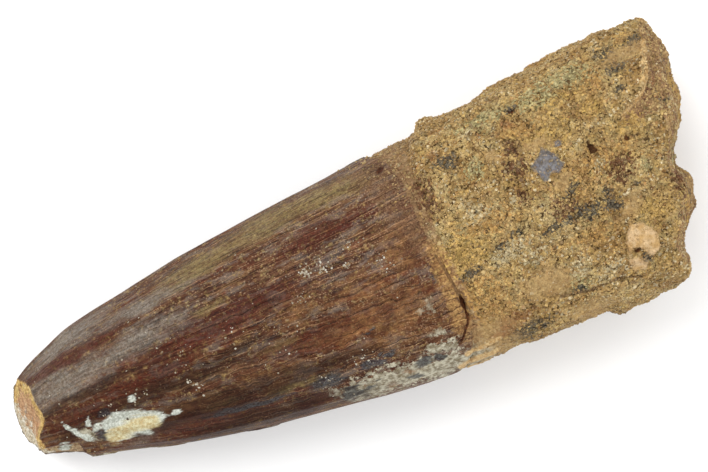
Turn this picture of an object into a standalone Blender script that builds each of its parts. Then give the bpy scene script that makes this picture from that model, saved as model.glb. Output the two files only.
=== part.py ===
"""Fossil spinosaur tooth, lying on its side as it rests on a table.

It is one solid: a fluted, conical crown with a broken tip, and a root under a crust of cemented sand,
which ends in a rough break. Metres, +Z up. +X runs from the tip to the root end, +Y to the convex front
edge, and the tooth rests on z = 0. The form is worked out in millimetres, with x counted from the tip,
and is moved at the end so that the origin is in the middle of the footprint's box.
"""

import math

import bmesh
import bpy
from mathutils import Vector, noise

MM = 0.001
FOOTPRINT_MIDDLE = (37.3, -0.05, 0.0)

# Enamel and bone without the sand crust, in mm: x, front edge, rear edge, underside, top
OUTLINE = (
    (0.0, 3.9, -3.0, 2.6, 8.2),
    (3.0, 5.7, -4.1, 2.2, 9.6),
    (6.0, 6.9, -5.1, 1.8, 11.1),
    (9.0, 7.9, -5.9, 1.4, 12.3),
    (15.0, 8.8, -7.7, 0.8, 14.0),
    (22.0, 9.75, -9.3, 0.35, 15.4),
    (30.0, 10.5, -10.5, 0.0, 16.8),
    (38.0, 10.9, -11.6, -0.15, 17.9),
    (46.0, 11.3, -12.1, -0.15, 18.4),
    (54.0, 11.3, -12.4, 0.35, 18.7),
    (62.0, 12.0, -12.5, 0.75, 19.0),
    (76.0, 11.8, -12.3, 0.9, 19.2),
)
EDGE_CURVES = [[(row[0], row[k]) for row in OUTLINE] for k in (1, 2, 3, 4)]

# Sections are superellipses: an exponent of 2 is an ellipse, and more is squarer
CROWN_SQUARENESS = 2.05
ROOT_SQUARENESS = 2.35
SQUARER_FROM, SQUARER_TO = 38.0, 56.0

# Break at the tip, which slopes so that its face looks up and forwards
TIP_SLOPE_LENGTH = 2.7
TIP_MIDDLE_Y, TIP_MIDDLE_Z = 0.9, 5.6
TIP_BULGE = 0.022

# Break at the root end: y, and the furthest x that it reaches there
END_REACH = (
    (-14.0, 65.2),
    (-12.6, 67.0),
    (-11.5, 68.2),
    (-9.6, 68.3),
    (-7.6, 69.5),
    (-5.4, 70.9),
    (-3.5, 71.6),
    (-2.0, 71.1),
    (0.2, 71.7),
    (1.8, 73.0),
    (4.2, 74.0),
    (9.6, 74.4),
    (14.0, 73.5),
)
END_TOP_RECEDES = 2.6
END_REAR_TOP_RECEDES = 1.5
END_UNDERSIDE_RECEDES = 1.8
END_MIDDLE_Y, END_MIDDLE_Z = 0.0, 10.0
END_SECTION_X = 70.0
END_FRONT_HALF_FROM, END_FRONT_HALF_TO = -1.0, 6.0
END_ROUGHNESS, END_SMALL_LUMP_SHARE = 0.7, 0.5
END_LUMP_SIZE, END_LUMP_SLICE = 3.6, 4.0
END_SMALL_LUMP_SIZE, END_SMALL_LUMP_SLICE = 1.7, 9.0

# Enamel's edge, which bends back towards the tip at the front and rear
ENAMEL_EDGE_X = 45.7
ENAMEL_EDGE_BEND, ENAMEL_EDGE_BEND_POWER = 2.6, 5
ENAMEL_EDGE_WAVE, ENAMEL_EDGE_WAVES, ENAMEL_EDGE_WAVE_PHASE = 0.35, 3.0, 0.6
CRACK_OFFSET = 0.45
CRACK_HALF_WIDTH = 0.4
CRACK_DEPTH = 0.25
CRACK_GAPE_DEPTH = 1.0
CRACK_GAPE_Y = -6.6
CRACK_GAPE_HALF_LENGTH = 2.4

# Flutes that run along the crown and fade towards the root
FLUTES = 10
FLUTE_PHASE = 1.94
FLUTE_DEPTH = 0.42
FLUTE_FULL_FROM = 4.0
FLUTE_FADE_START = 16.0
FLUTE_FADE_END = 44.0
# How unevenly the flutes stand round the crown: size, waves round it and phase
FLUTE_SPACING_WAVES = ((0.13, 2.0, 1.1), (0.07, 5.0, 0.0))

# Sand crust over the root
CRUST_THICKNESS = 0.95
CRUST_REAR_THICKNESS = 0.6
CRUST_START = 0.9
CRUST_FRONT_START = 4.3
CRUST_RISE = 1.2
CRUST_FIRST_STEP = 0.5
CRUST_FULL_AFTER = 9.0
CRUST_FRONT_POWER = 8
CRUST_REAR_FROM, CRUST_REAR_TO = 0.5, 1.0
BARE_BONE_FADE_FROM, BARE_BONE_END = 58.9, 60.5
BARE_STRIP_FROM, BARE_STRIP_TO = 0.86, 0.95
LUMP_SIZE, LUMP_HEIGHT, LUMP_SHIFT = 5.0, 0.55, Vector((3.1, 0.4, 7.7))
SMALL_LUMP_SIZE, SMALL_LUMP_HEIGHT, SMALL_LUMP_SHIFT = 2.3, 0.32, Vector((0.2, 5.3, 1.9))
LUMPS_OFF_THE_CRUST = 0.12

# Enamel lost along the rear edge by the tip
LOST_ENAMEL_LENGTH = 5.8
LOST_ENAMEL_LEDGE = 0.4
LOST_ENAMEL_DEPTH = 0.65
LOST_ENAMEL_FROM, LOST_ENAMEL_TO, LOST_ENAMEL_TURN = 0.55, 0.8, 0.15

# Chips, plates and pits of the upper side: name, x, y, half length, half width, height
TOP_MARKS = (
    ("long chip near the tip", 10.8, -3.7, 3.3, 1.4, -0.35),
    ("bone plate", 64.2, -7.2, 2.0, 1.6, 0.45),
    ("small bone plate", 63.8, -9.3, 1.1, 0.9, 0.4),
    ("hollow beside the plates", 65.6, -8.6, 1.2, 1.1, -0.6),
    ("brown pit", 64.0, 3.0, 1.0, 1.2, -0.55),
    ("fallen corner", 70.5, 2.2, 4.6, 3.0, -1.1),
    ("bare patch by the end", 70.8, 9.4, 2.0, 1.2, -0.35),
    ("high middle of the crust", 56.0, 1.0, 5.5, 5.0, 0.45),
    ("dip along the crust", 55.5, -5.2, 6.5, 1.8, -0.3),
)
MARK_FLAT_TO, MARK_EDGE_AT = 0.45, 1.15
# Knobs and dips of the outline: name, x, angle in degrees, radius, height
EDGE_KNOBS = (
    ("first knob of the front edge", 50.1, 0.0, 0.8, 0.45),
    ("dip after the first knob", 54.0, 0.0, 1.6, -0.5),
    ("dip behind the crown", 49.7, 180.0, 1.0, -0.35),
    ("knob at the rear corner", 66.5, 180.0, 0.9, 0.3),
)
KNOB_ARC_PER_RADIAN = 6.0

# Rings of the mesh, from the tip to the root end
SEGMENTS = 64
TIP_RINGS = 3
CROWN_RINGS = 35
EDGE_STEPS = (0.0, 0.45, 0.95)
ROOT_RINGS = 25
END_RINGS = 7
RIM_SOLVING_STEPS = 12
SHARP_ANGLE = 40.0
CUT_TOLERANCE = 1e-4

ENAMEL_BROWN = (0.22, 0.12, 0.06, 1.0)
ENAMEL_ROUGHNESS = 0.5


def smooth_step(low, high, value):
    """0 below low, 1 above high and an even S-curve between."""
    t = min(1.0, max(0.0, (value - low) / (high - low)))
    return t * t * (3.0 - 2.0 * t)


def hump(value, middle, half_width):
    """1 at the middle, falling smoothly to 0 at half_width to each side."""
    return 1.0 - smooth_step(0.0, half_width, abs(value - middle))


def smooth_through(points, x):
    """The value at x of a smooth curve through (x, value) points."""
    last = len(points) - 1
    i = 0
    while i < last - 1 and x > points[i + 1][0]:
        i += 1
    (x0, v0), (x1, v1) = points[i], points[i + 1]
    xa, va = points[max(i - 1, 0)]
    xb, vb = points[min(i + 2, last)]
    slope0 = (v1 - va) / (x1 - xa)
    slope1 = (vb - v0) / (xb - x0)
    span = x1 - x0
    t = (x - x0) / span
    return (
        v0 * (2 * t**3 - 3 * t**2 + 1)
        + slope0 * span * (t**3 - 2 * t**2 + t)
        + v1 * (3 * t**2 - 2 * t**3)
        + slope1 * span * (t**3 - t**2)
    )


def outline_at(x):
    """Front, rear, underside and top of the section at x."""
    return [smooth_through(curve, x) for curve in EDGE_CURVES]


def enamel_edge(angle):
    """x of the enamel's edge. Angle 0 is the front edge and 90 degrees the top."""
    bend = ENAMEL_EDGE_BEND * abs(math.cos(angle)) ** ENAMEL_EDGE_BEND_POWER
    wave = ENAMEL_EDGE_WAVE * math.sin(ENAMEL_EDGE_WAVES * angle + ENAMEL_EDGE_WAVE_PHASE)
    return ENAMEL_EDGE_X - bend + wave


def flute_relief(x, angle):
    """Broad hollows between sharp, unevenly spaced ridges."""
    waves = [size * math.sin(count * angle + phase) for size, count, phase in FLUTE_SPACING_WAVES]
    uneven = angle + sum(waves)
    hollow = abs(math.sin(0.5 * FLUTES * uneven + FLUTE_PHASE))
    depth = FLUTE_DEPTH * smooth_step(0.0, FLUTE_FULL_FROM, x)
    return -hollow * depth * (1.0 - smooth_step(FLUTE_FADE_START, FLUTE_FADE_END, x))


def crust_cover(x, angle):
    """Share of the crust's thickness: 0 on the crown and on bare bone, 1 on the root."""
    front = max(0.0, math.cos(angle)) ** CRUST_FRONT_POWER
    start = enamel_edge(angle) + CRUST_START + CRUST_FRONT_START * front
    first_step = CRUST_FIRST_STEP + (1.0 - CRUST_FIRST_STEP) * front
    cover = first_step * smooth_step(start, start + CRUST_RISE, x)
    cover += (1.0 - first_step) * smooth_step(start, start + CRUST_FULL_AFTER, x)
    rear_strip = smooth_step(BARE_STRIP_FROM, BARE_STRIP_TO, -math.cos(angle))
    bare = rear_strip * (1.0 - smooth_step(BARE_BONE_FADE_FROM, BARE_BONE_END, x))
    return cover * (1.0 - bare)


def crust_relief(x, angle):
    """Height of the crust, which is thinner towards the rear edge."""
    rear = smooth_step(CRUST_REAR_FROM, CRUST_REAR_TO, -math.cos(angle))
    thickness = CRUST_THICKNESS + (CRUST_REAR_THICKNESS - CRUST_THICKNESS) * rear
    return thickness * crust_cover(x, angle)


def crack_relief(x, y, angle):
    """Groove just behind the enamel's edge, which gapes towards the rear on the upper side."""
    gape = hump(y, CRACK_GAPE_Y, CRACK_GAPE_HALF_LENGTH) if math.sin(angle) > 0.0 else 0.0
    depth = CRACK_DEPTH + (CRACK_GAPE_DEPTH - CRACK_DEPTH) * gape
    return -depth * hump(x, enamel_edge(angle) + CRACK_OFFSET, CRACK_HALF_WIDTH)


def marks_relief(x, y, angle):
    """Chips, plates, pits and knobs at their own places."""
    height = 0.0
    if math.sin(angle) > 0.0:
        for _, mark_x, mark_y, half_length, half_width, lift in TOP_MARKS:
            away = math.hypot((x - mark_x) / half_length, (y - mark_y) / half_width)
            height += lift * (1.0 - smooth_step(MARK_FLAT_TO, MARK_EDGE_AT, away))
    for _, knob_x, knob_angle, radius, lift in EDGE_KNOBS:
        turn = math.remainder(angle - math.radians(knob_angle), math.tau)
        height += lift * hump(math.hypot(x - knob_x, KNOB_ARC_PER_RADIAN * turn), 0.0, 2.0 * radius)
    return height


def lost_enamel_relief(x, angle):
    """Step down where the enamel has come away by the tip, along the rear edge."""
    rear = smooth_step(LOST_ENAMEL_FROM, LOST_ENAMEL_TO, -math.cos(angle - LOST_ENAMEL_TURN))
    before_ledge = 1.0 - smooth_step(LOST_ENAMEL_LENGTH - LOST_ENAMEL_LEDGE, LOST_ENAMEL_LENGTH, x)
    return -LOST_ENAMEL_DEPTH * rear * before_ledge


def root_lumps(x, y, z, angle):
    """Uneven surface of the crust, in two sizes, and almost none on the bare crown."""
    big = noise.noise(Vector((x, y, z)) / LUMP_SIZE + LUMP_SHIFT)
    small = noise.noise(Vector((x, y, z)) / SMALL_LUMP_SIZE + SMALL_LUMP_SHIFT)
    share = crust_cover(x, angle) + LUMPS_OFF_THE_CRUST
    return share * (LUMP_HEIGHT * big + SMALL_LUMP_HEIGHT * small)


def side_point(x, angle):
    """Point of the tooth's side at x, with all its relief."""
    front, rear, under, top = outline_at(x)
    squarer = smooth_step(SQUARER_FROM, SQUARER_TO, x)
    squareness = CROWN_SQUARENESS + (ROOT_SQUARENESS - CROWN_SQUARENESS) * squarer
    across = math.copysign(abs(math.cos(angle)) ** (2.0 / squareness), math.cos(angle))
    upward = math.copysign(abs(math.sin(angle)) ** (2.0 / squareness), math.sin(angle))
    middle_y, middle_z = (front + rear) / 2.0, (under + top) / 2.0
    y = middle_y + (front - rear) / 2.0 * across
    z = middle_z + (top - under) / 2.0 * upward
    relief = (
        flute_relief(x, angle)
        + crust_relief(x, angle)
        + crack_relief(x, y, angle)
        + marks_relief(x, y, angle)
        + lost_enamel_relief(x, angle)
        + root_lumps(x, y, z, angle)
    )
    return Vector((x, y + relief * across, z + relief * upward))


def tip_break(y, z):
    """x of the sloping break at the tip."""
    _, _, under, top = outline_at(0.0)
    share = (z - under) / (top - under)
    return TIP_SLOPE_LENGTH * share + TIP_BULGE * (y - TIP_MIDDLE_Y) ** 2


def end_break(y, z):
    """x of the rough break at the root end."""
    _, _, under, top = outline_at(END_SECTION_X)
    height = (z - (under + top) / 2.0) / ((top - under) / 2.0)
    recedes = END_UNDERSIDE_RECEDES
    if height > 0.0:
        towards_front = smooth_step(END_FRONT_HALF_FROM, END_FRONT_HALF_TO, y)
        recedes = END_REAR_TOP_RECEDES + (END_TOP_RECEDES - END_REAR_TOP_RECEDES) * towards_front
    lumps = noise.noise(Vector((END_LUMP_SLICE, y / END_LUMP_SIZE, z / END_LUMP_SIZE)))
    small_place = Vector((END_SMALL_LUMP_SLICE, y / END_SMALL_LUMP_SIZE, z / END_SMALL_LUMP_SIZE))
    rough = END_ROUGHNESS * (lumps + END_SMALL_LUMP_SHARE * noise.noise(small_place))
    return smooth_through(END_REACH, y) - recedes * height * height + rough


def rim_point(break_at, start_x, angle):
    """Where the side meets a break."""
    point = side_point(start_x, angle)
    for _ in range(RIM_SOLVING_STEPS):
        point = side_point(break_at(point.y, point.z), angle)
    return point


def face_point(break_at, rim, middle_y, middle_z, share):
    """Point of a break's face, at this share of the way from its middle to its rim."""
    y = middle_y + (rim.y - middle_y) * share
    z = middle_z + (rim.z - middle_z) * share
    return Vector((break_at(y, z), y, z))


def line_of_points(angle):
    """One line of the mesh, from the middle of the tip's break to the middle of the end's."""
    tip_rim = rim_point(tip_break, 0.0, angle)
    end_rim = rim_point(end_break, END_SECTION_X, angle)
    edge = enamel_edge(angle)
    past_edge = edge + EDGE_STEPS[-1]
    points = []
    for i in range(TIP_RINGS):
        points.append(face_point(tip_break, tip_rim, TIP_MIDDLE_Y, TIP_MIDDLE_Z, i / TIP_RINGS))
    points.append(tip_rim)
    for i in range(1, CROWN_RINGS):
        points.append(side_point(tip_rim.x + (edge - tip_rim.x) * i / CROWN_RINGS, angle))
    for step in EDGE_STEPS:
        points.append(side_point(edge + step, angle))
    for i in range(1, ROOT_RINGS):
        points.append(side_point(past_edge + (end_rim.x - past_edge) * i / ROOT_RINGS, angle))
    points.append(end_rim)
    for i in reversed(range(END_RINGS)):
        points.append(face_point(end_break, end_rim, END_MIDDLE_Y, END_MIDDLE_Z, i / END_RINGS))
    return points


def shape_tooth(bm):
    """Moves a ball's rings on to the tooth: its poles become the middles of the two breaks."""
    lines = [line_of_points(i / SEGMENTS * math.tau) for i in range(SEGMENTS)]
    rows = len(lines[0]) - 1
    bmesh.ops.create_uvsphere(bm, u_segments=SEGMENTS, v_segments=rows, radius=1.0)
    for vert in bm.verts:
        from_tip = math.acos(max(-1.0, min(1.0, -vert.co.z)))
        row = round(from_tip / math.pi * rows)
        segment = round(math.atan2(vert.co.y, vert.co.x) / math.tau * SEGMENTS) % SEGMENTS
        vert.co = lines[segment][row]


def flatten_underside(bm):
    """Cuts off what would lie below the table, which leaves the worn faces that the tooth rests on."""
    cut = bmesh.ops.bisect_plane(
        bm,
        geom=bm.verts[:] + bm.edges[:] + bm.faces[:],
        dist=CUT_TOLERANCE,
        plane_co=(0.0, 0.0, 0.0),
        plane_no=(0.0, 0.0, -1.0),
        clear_outer=True,
    )
    edges = [piece for piece in cut["geom_cut"] if isinstance(piece, bmesh.types.BMEdge)]
    bmesh.ops.holes_fill(bm, edges=edges, sides=0)
    bmesh.ops.triangulate(bm, faces=bm.faces[:])


def centre_and_scale(bm):
    """Puts the middle of the footprint at the origin and turns millimetres to metres."""
    bmesh.ops.translate(bm, verts=bm.verts[:], vec=-Vector(FOOTPRINT_MIDDLE))
    bmesh.ops.scale(bm, verts=bm.verts[:], vec=(MM, MM, MM))


def fossil_material():
    """Brown fossil enamel, which stands for the whole tooth."""
    material = bpy.data.materials.new("fossil_tooth")
    material.use_nodes = True
    shader = material.node_tree.nodes["Principled BSDF"]
    shader.inputs["Base Color"].default_value = ENAMEL_BROWN
    shader.inputs["Roughness"].default_value = ENAMEL_ROUGHNESS
    shader.inputs["Metallic"].default_value = 0.0
    return material


def build():
    """Clears the scene and makes the tooth."""
    for obj in list(bpy.data.objects):
        bpy.data.objects.remove(obj)
    bm = bmesh.new()
    shape_tooth(bm)
    flatten_underside(bm)
    centre_and_scale(bm)
    mesh = bpy.data.meshes.new("tooth")
    bm.to_mesh(mesh)
    bm.free()
    mesh.shade_smooth()
    mesh.set_sharp_from_angle(angle=math.radians(SHARP_ANGLE))
    mesh.materials.append(fossil_material())
    bpy.context.scene.collection.objects.link(bpy.data.objects.new("tooth", mesh))


build()
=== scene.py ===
"""Looks of the fossil spinosaur tooth: fluted enamel, a crust of cemented sand, breaks and stains.

The skin is worked out in millimetres, with x counted from the tip, y towards the convex front edge and
z up, and is then moved on to the tooth of the frame. An angle goes round the tooth: 0 is the front edge
and 90 degrees the top.
"""

import logging
import math
from collections.abc import Callable, Mapping, Sequence
from dataclasses import dataclass, field
from enum import Enum
from functools import cached_property
from typing import Any

import bmesh
import bpy
import numpy as np
from mathutils import Matrix, Vector, noise
from mathutils.bvhtree import BVHTree


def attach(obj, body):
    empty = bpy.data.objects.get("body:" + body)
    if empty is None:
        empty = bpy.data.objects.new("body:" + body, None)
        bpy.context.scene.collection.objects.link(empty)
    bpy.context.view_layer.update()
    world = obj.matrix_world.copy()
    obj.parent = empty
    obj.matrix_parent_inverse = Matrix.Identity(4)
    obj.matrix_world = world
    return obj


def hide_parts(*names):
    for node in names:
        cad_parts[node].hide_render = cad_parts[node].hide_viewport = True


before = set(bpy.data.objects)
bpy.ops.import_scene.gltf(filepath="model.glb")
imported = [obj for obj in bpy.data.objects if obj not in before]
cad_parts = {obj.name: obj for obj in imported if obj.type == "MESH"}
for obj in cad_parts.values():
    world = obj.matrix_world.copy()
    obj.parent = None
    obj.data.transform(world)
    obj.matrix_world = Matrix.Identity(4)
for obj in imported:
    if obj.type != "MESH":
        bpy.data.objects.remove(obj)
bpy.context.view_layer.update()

LOG = logging.getLogger("tooth")
MM = 0.001
PER_MM = (1.0 / MM, 1.0 / MM, 1.0 / MM)
FOOTPRINT_MIDDLE = (37.3, -0.05, 0.0)
# Share of a colour seen under the studio's light that is the surface's own
EXPOSURE = 0.67

Array = np.ndarray
Colour = tuple[int, int, int]


def smooth_step(low: float | Array, high: float | Array, value: Array) -> Array:
    """Rises from 0 to 1 in an even S-curve.

    Args:
        low: Where the rise starts.
        high: Where the rise ends.
        value: What is looked at.

    Returns:
        0 below low, 1 above high and the curve between.
    """
    t = np.clip((value - low) / (high - low), 0.0, 1.0)
    return t * t * (3.0 - 2.0 * t)


def hump(value: Array, middle: float | Array, half_width: float) -> Array:
    """Makes a smooth bump.

    Args:
        value: What is looked at.
        middle: Where the bump is highest.
        half_width: How far to each side the bump reaches.

    Returns:
        1 at the middle, falling to 0 at half_width to each side.
    """
    return 1.0 - smooth_step(0.0, half_width, np.abs(value - middle))


def smooth_through(points: Sequence[tuple[float, float]], x: Array) -> Array:
    """Reads a smooth curve through points.

    Args:
        points: The curve's own points, as (x, value).
        x: Where the curve is read.

    Returns:
        The curve's value at each x.
    """
    xs, values = np.array(points).T
    last = len(xs) - 1
    i = np.searchsorted(xs[1:last], x, side="left")
    before, after = np.maximum(i - 1, 0), np.minimum(i + 2, last)
    span = xs[i + 1] - xs[i]
    slope0 = (values[i + 1] - values[before]) / (xs[i + 1] - xs[before])
    slope1 = (values[after] - values[i]) / (xs[after] - xs[i])
    t = (x - xs[i]) / span
    return (
        values[i] * (2 * t**3 - 3 * t**2 + 1)
        + slope0 * span * (t**3 - 2 * t**2 + t)
        + values[i + 1] * (3 * t**2 - 2 * t**3)
        + slope1 * span * (t**3 - t**2)
    )


def lumps(places: Array, size: float, shift: Sequence[float] = (0.0, 0.0, 0.0)) -> Array:
    """Reads smooth noise at many places.

    Args:
        places: Points, with their three coordinates last.
        size: Size of the lumps, in the points' unit.
        shift: Which part of the noise is read.

    Returns:
        Values between about -1 and 1, one for each point.
    """
    flat = (places / size + np.array(shift)).reshape(-1, 3)
    values = np.fromiter((noise.noise(p) for p in flat.tolist()), float, count=len(flat))
    return values.reshape(places.shape[:-1])


def cobbles(places: Array, size: float, shift: Sequence[float] = (0.0, 0.0, 0.0)) -> Array:
    """Reads a pattern of rounded stones at many places.

    Args:
        places: Points, with their three coordinates last.
        size: Size of the stones, in the points' unit.
        shift: Which part of the pattern is read.

    Returns:
        1 in the middle of each stone and towards 0 in the gaps.
    """
    flat = (places / size + np.array(shift)).reshape(-1, 3)
    nearest = np.fromiter((noise.voronoi(p)[0][0] for p in flat.tolist()), float, count=len(flat))
    return np.clip(1.0 - nearest, 0.0, 1.0).reshape(places.shape[:-1])


@dataclass(frozen=True)
class Sections:
    """Cross-sections of the tooth without its crust: rounded squares between four edge curves."""

    rows: tuple[tuple[float, ...], ...] = (
        (0.0, 3.9, -3.0, 2.6, 8.2), (3.0, 5.7, -4.1, 2.2, 9.6), (6.0, 6.9, -5.1, 1.8, 11.1),
        (9.0, 7.9, -5.9, 1.4, 12.3), (15.0, 8.8, -7.7, 0.8, 14.0), (22.0, 9.75, -9.3, 0.35, 15.4),
        (30.0, 10.5, -10.5, 0.0, 16.8), (38.0, 10.9, -11.6, -0.15, 17.9),
        (46.0, 11.3, -12.1, -0.15, 18.4), (54.0, 11.3, -12.4, 0.35, 18.7),
        (62.0, 12.0, -12.5, 0.75, 19.0), (76.0, 11.8, -12.3, 0.9, 19.2),
    )
    crown_squareness: float = 2.05
    root_squareness: float = 2.35
    squarer_from: float = 38.0
    squarer_to: float = 56.0

    def edges(self, x: Array) -> list[Array]:
        """Reads the edge curves.

        Args:
            x: Places along the tooth.

        Returns:
            The front, rear, underside and top there.
        """
        return [smooth_through([(row[0], row[k]) for row in self.rows], x) for k in (1, 2, 3, 4)]

    def around(self, x: Array, angle: Array) -> tuple[Array, Array, Array, Array]:
        """Finds the outline's points.

        Args:
            x: Places along the tooth.
            angle: Angles round it.

        Returns:
            y and z of each point, and the outward direction's y and z.
        """
        front, rear, under, top = self.edges(x)
        squarer = smooth_step(self.squarer_from, self.squarer_to, x)
        power = 2.0 / (self.crown_squareness + (self.root_squareness - self.crown_squareness) * squarer)
        across = np.sign(np.cos(angle)) * np.abs(np.cos(angle)) ** power
        upward = np.sign(np.sin(angle)) * np.abs(np.sin(angle)) ** power
        y = (front + rear) / 2.0 + (front - rear) / 2.0 * across
        z = (under + top) / 2.0 + (top - under) / 2.0 * upward
        return y, z, across, upward


@dataclass(frozen=True)
class EnamelEdge:
    """Edge where the enamel ends, which bends back towards the tip at the front and rear."""

    x: float = 45.7
    bend: float = 2.6
    bend_power: int = 5
    wave: float = 0.35
    waves: float = 3.0
    wave_phase: float = 0.6

    def at(self, angle: Array) -> Array:
        """x of the edge at each angle."""
        bend = self.bend * np.abs(np.cos(angle)) ** self.bend_power
        return self.x - bend + self.wave * np.sin(self.waves * angle + self.wave_phase)


@dataclass(frozen=True)
class Flutes:
    """Broad hollows between sharp, unevenly spaced ridges, which fade towards the root."""

    count: int = 10
    phase: float = 1.94
    depth: float = 0.42
    full_from: float = 4.0
    fade_start: float = 16.0
    fade_end: float = 44.0
    spacing_waves: tuple[tuple[float, float, float], ...] = ((0.13, 2.0, 1.1), (0.07, 5.0, 0.0))

    def hollow(self, angle: Array) -> Array:
        """0 on each ridge and 1 in the middle of each hollow."""
        uneven = angle + sum(size * np.sin(n * angle + phase) for size, n, phase in self.spacing_waves)
        return np.abs(np.sin(0.5 * self.count * uneven + self.phase))

    def relief(self, x: Array, angle: Array) -> Array:
        """Height of the flutes, which is below the outline."""
        fading = 1.0 - smooth_step(self.fade_start, self.fade_end, x)
        return -self.hollow(angle) * self.depth * smooth_step(0.0, self.full_from, x) * fading


@dataclass(frozen=True)
class CrustForm:
    """Layer of cemented sand over the root."""

    thickness: float = 0.95
    rear_thickness: float = 0.6
    start: float = 0.9
    front_start: float = 4.3
    rise: float = 1.2
    first_step: float = 0.5
    full_after: float = 9.0
    front_power: int = 8
    rear_from: float = 0.5
    rear_to: float = 1.0
    bare_fade_from: float = 58.9
    bare_end: float = 60.5
    strip_from: float = 0.86
    strip_to: float = 0.95
    lump_size: float = 5.0
    lump_height: float = 0.55
    lump_shift: tuple[float, float, float] = (3.1, 0.4, 7.7)
    small_lump_size: float = 2.3
    small_lump_height: float = 0.32
    small_lump_shift: tuple[float, float, float] = (0.2, 5.3, 1.9)
    lumps_off_the_crust: float = 0.12

    def cover(self, x: Array, angle: Array, edge: Array) -> Array:
        """Finds how much of the crust lies at each place.

        Args:
            x: Places along the tooth.
            angle: Angles round it.
            edge: x of the enamel's edge at those angles.

        Returns:
            0 on the crown and on bare bone, up to 1 on the root.
        """
        front = np.maximum(0.0, np.cos(angle)) ** self.front_power
        start = edge + self.start + self.front_start * front
        first_step = self.first_step + (1.0 - self.first_step) * front
        cover = first_step * smooth_step(start, start + self.rise, x)
        cover = cover + (1.0 - first_step) * smooth_step(start, start + self.full_after, x)
        rear_strip = smooth_step(self.strip_from, self.strip_to, -np.cos(angle))
        bare = rear_strip * (1.0 - smooth_step(self.bare_fade_from, self.bare_end, x))
        return cover * (1.0 - bare)

    def relief(self, angle: Array, cover: Array) -> Array:
        """Height of the crust, which is thinner towards the rear edge."""
        rear = smooth_step(self.rear_from, self.rear_to, -np.cos(angle))
        return (self.thickness + (self.rear_thickness - self.thickness) * rear) * cover

    def unevenness(self, places: Array, cover: Array) -> Array:
        """Height of the crust's lumps, in two sizes, with almost none on the bare crown."""
        big = self.lump_height * lumps(places, self.lump_size, self.lump_shift)
        small = self.small_lump_height * lumps(places, self.small_lump_size, self.small_lump_shift)
        return (cover + self.lumps_off_the_crust) * (big + small)


@dataclass(frozen=True)
class Crack:
    """Groove just behind the enamel's edge, which gapes towards the rear on the upper side."""

    offset: float = 0.45
    half_width: float = 0.4
    depth: float = 0.25
    gape_depth: float = 1.0
    gape_y: float = -6.6
    gape_half_length: float = 2.4

    def relief(self, x: Array, y: Array, angle: Array, edge: Array) -> Array:
        """Height of the groove, which is below the outline."""
        gape = np.where(np.sin(angle) > 0.0, hump(y, self.gape_y, self.gape_half_length), 0.0)
        depth = self.depth + (self.gape_depth - self.depth) * gape
        return -depth * hump(x, edge + self.offset, self.half_width)


@dataclass(frozen=True)
class LostEnamel:
    """Step down where the enamel has come away by the tip, along the rear edge."""

    length: float = 5.8
    ledge: float = 0.4
    depth: float = 0.65
    from_share: float = 0.55
    to_share: float = 0.8
    turn: float = 0.15

    def share(self, x: Array, angle: Array) -> Array:
        """1 where the enamel is lost and 0 where it is kept."""
        rear = smooth_step(self.from_share, self.to_share, -np.cos(angle - self.turn))
        return rear * (1.0 - smooth_step(self.length - self.ledge, self.length, x))


@dataclass(frozen=True)
class TopMark:
    """Chip, plate or pit of the upper side, as the solid has it."""

    x: float
    y: float
    half_length: float
    half_width: float
    height: float
    flat_to: float = 0.45
    edge_at: float = 1.15

    def relief(self, x: Array, y: Array) -> Array:
        """Height of the mark."""
        away = np.hypot((x - self.x) / self.half_length, (y - self.y) / self.half_width)
        return self.height * (1.0 - smooth_step(self.flat_to, self.edge_at, away))


@dataclass(frozen=True)
class EdgeKnob:
    """Knob or dip of the outline, as the solid has it."""

    x: float
    degrees: float
    radius: float
    height: float
    arc_per_radian: float = 6.0

    def relief(self, x: Array, angle: Array) -> Array:
        """Height of the knob."""
        turn = np.remainder(angle - math.radians(self.degrees) + math.pi, math.tau) - math.pi
        return self.height * hump(np.hypot(x - self.x, self.arc_per_radian * turn), 0.0, 2.0 * self.radius)


@dataclass(frozen=True)
class TipBreak:
    """Break at the tip, which slopes so that its face looks up and forwards."""

    slope_length: float = 2.7
    middle_y: float = 0.9
    middle_z: float = 5.6
    bulge: float = 0.022
    under: float = 2.6
    top: float = 8.2
    lap: float = 1.0
    lap_from: float = 0.4
    lap_to: float = -1.4
    lap_height: tuple[float, float] = (0.5, 0.9)

    def at(self, y: Array, z: Array) -> Array:
        """x of the break, on whose upper rear the enamel reaches a little further."""
        share = (z - self.under) / (self.top - self.under)
        lap = self.lap * smooth_step(self.lap_from, self.lap_to, y) * smooth_step(*self.lap_height, share)
        return self.slope_length * share + self.bulge * (y - self.middle_y) ** 2 - lap


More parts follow.
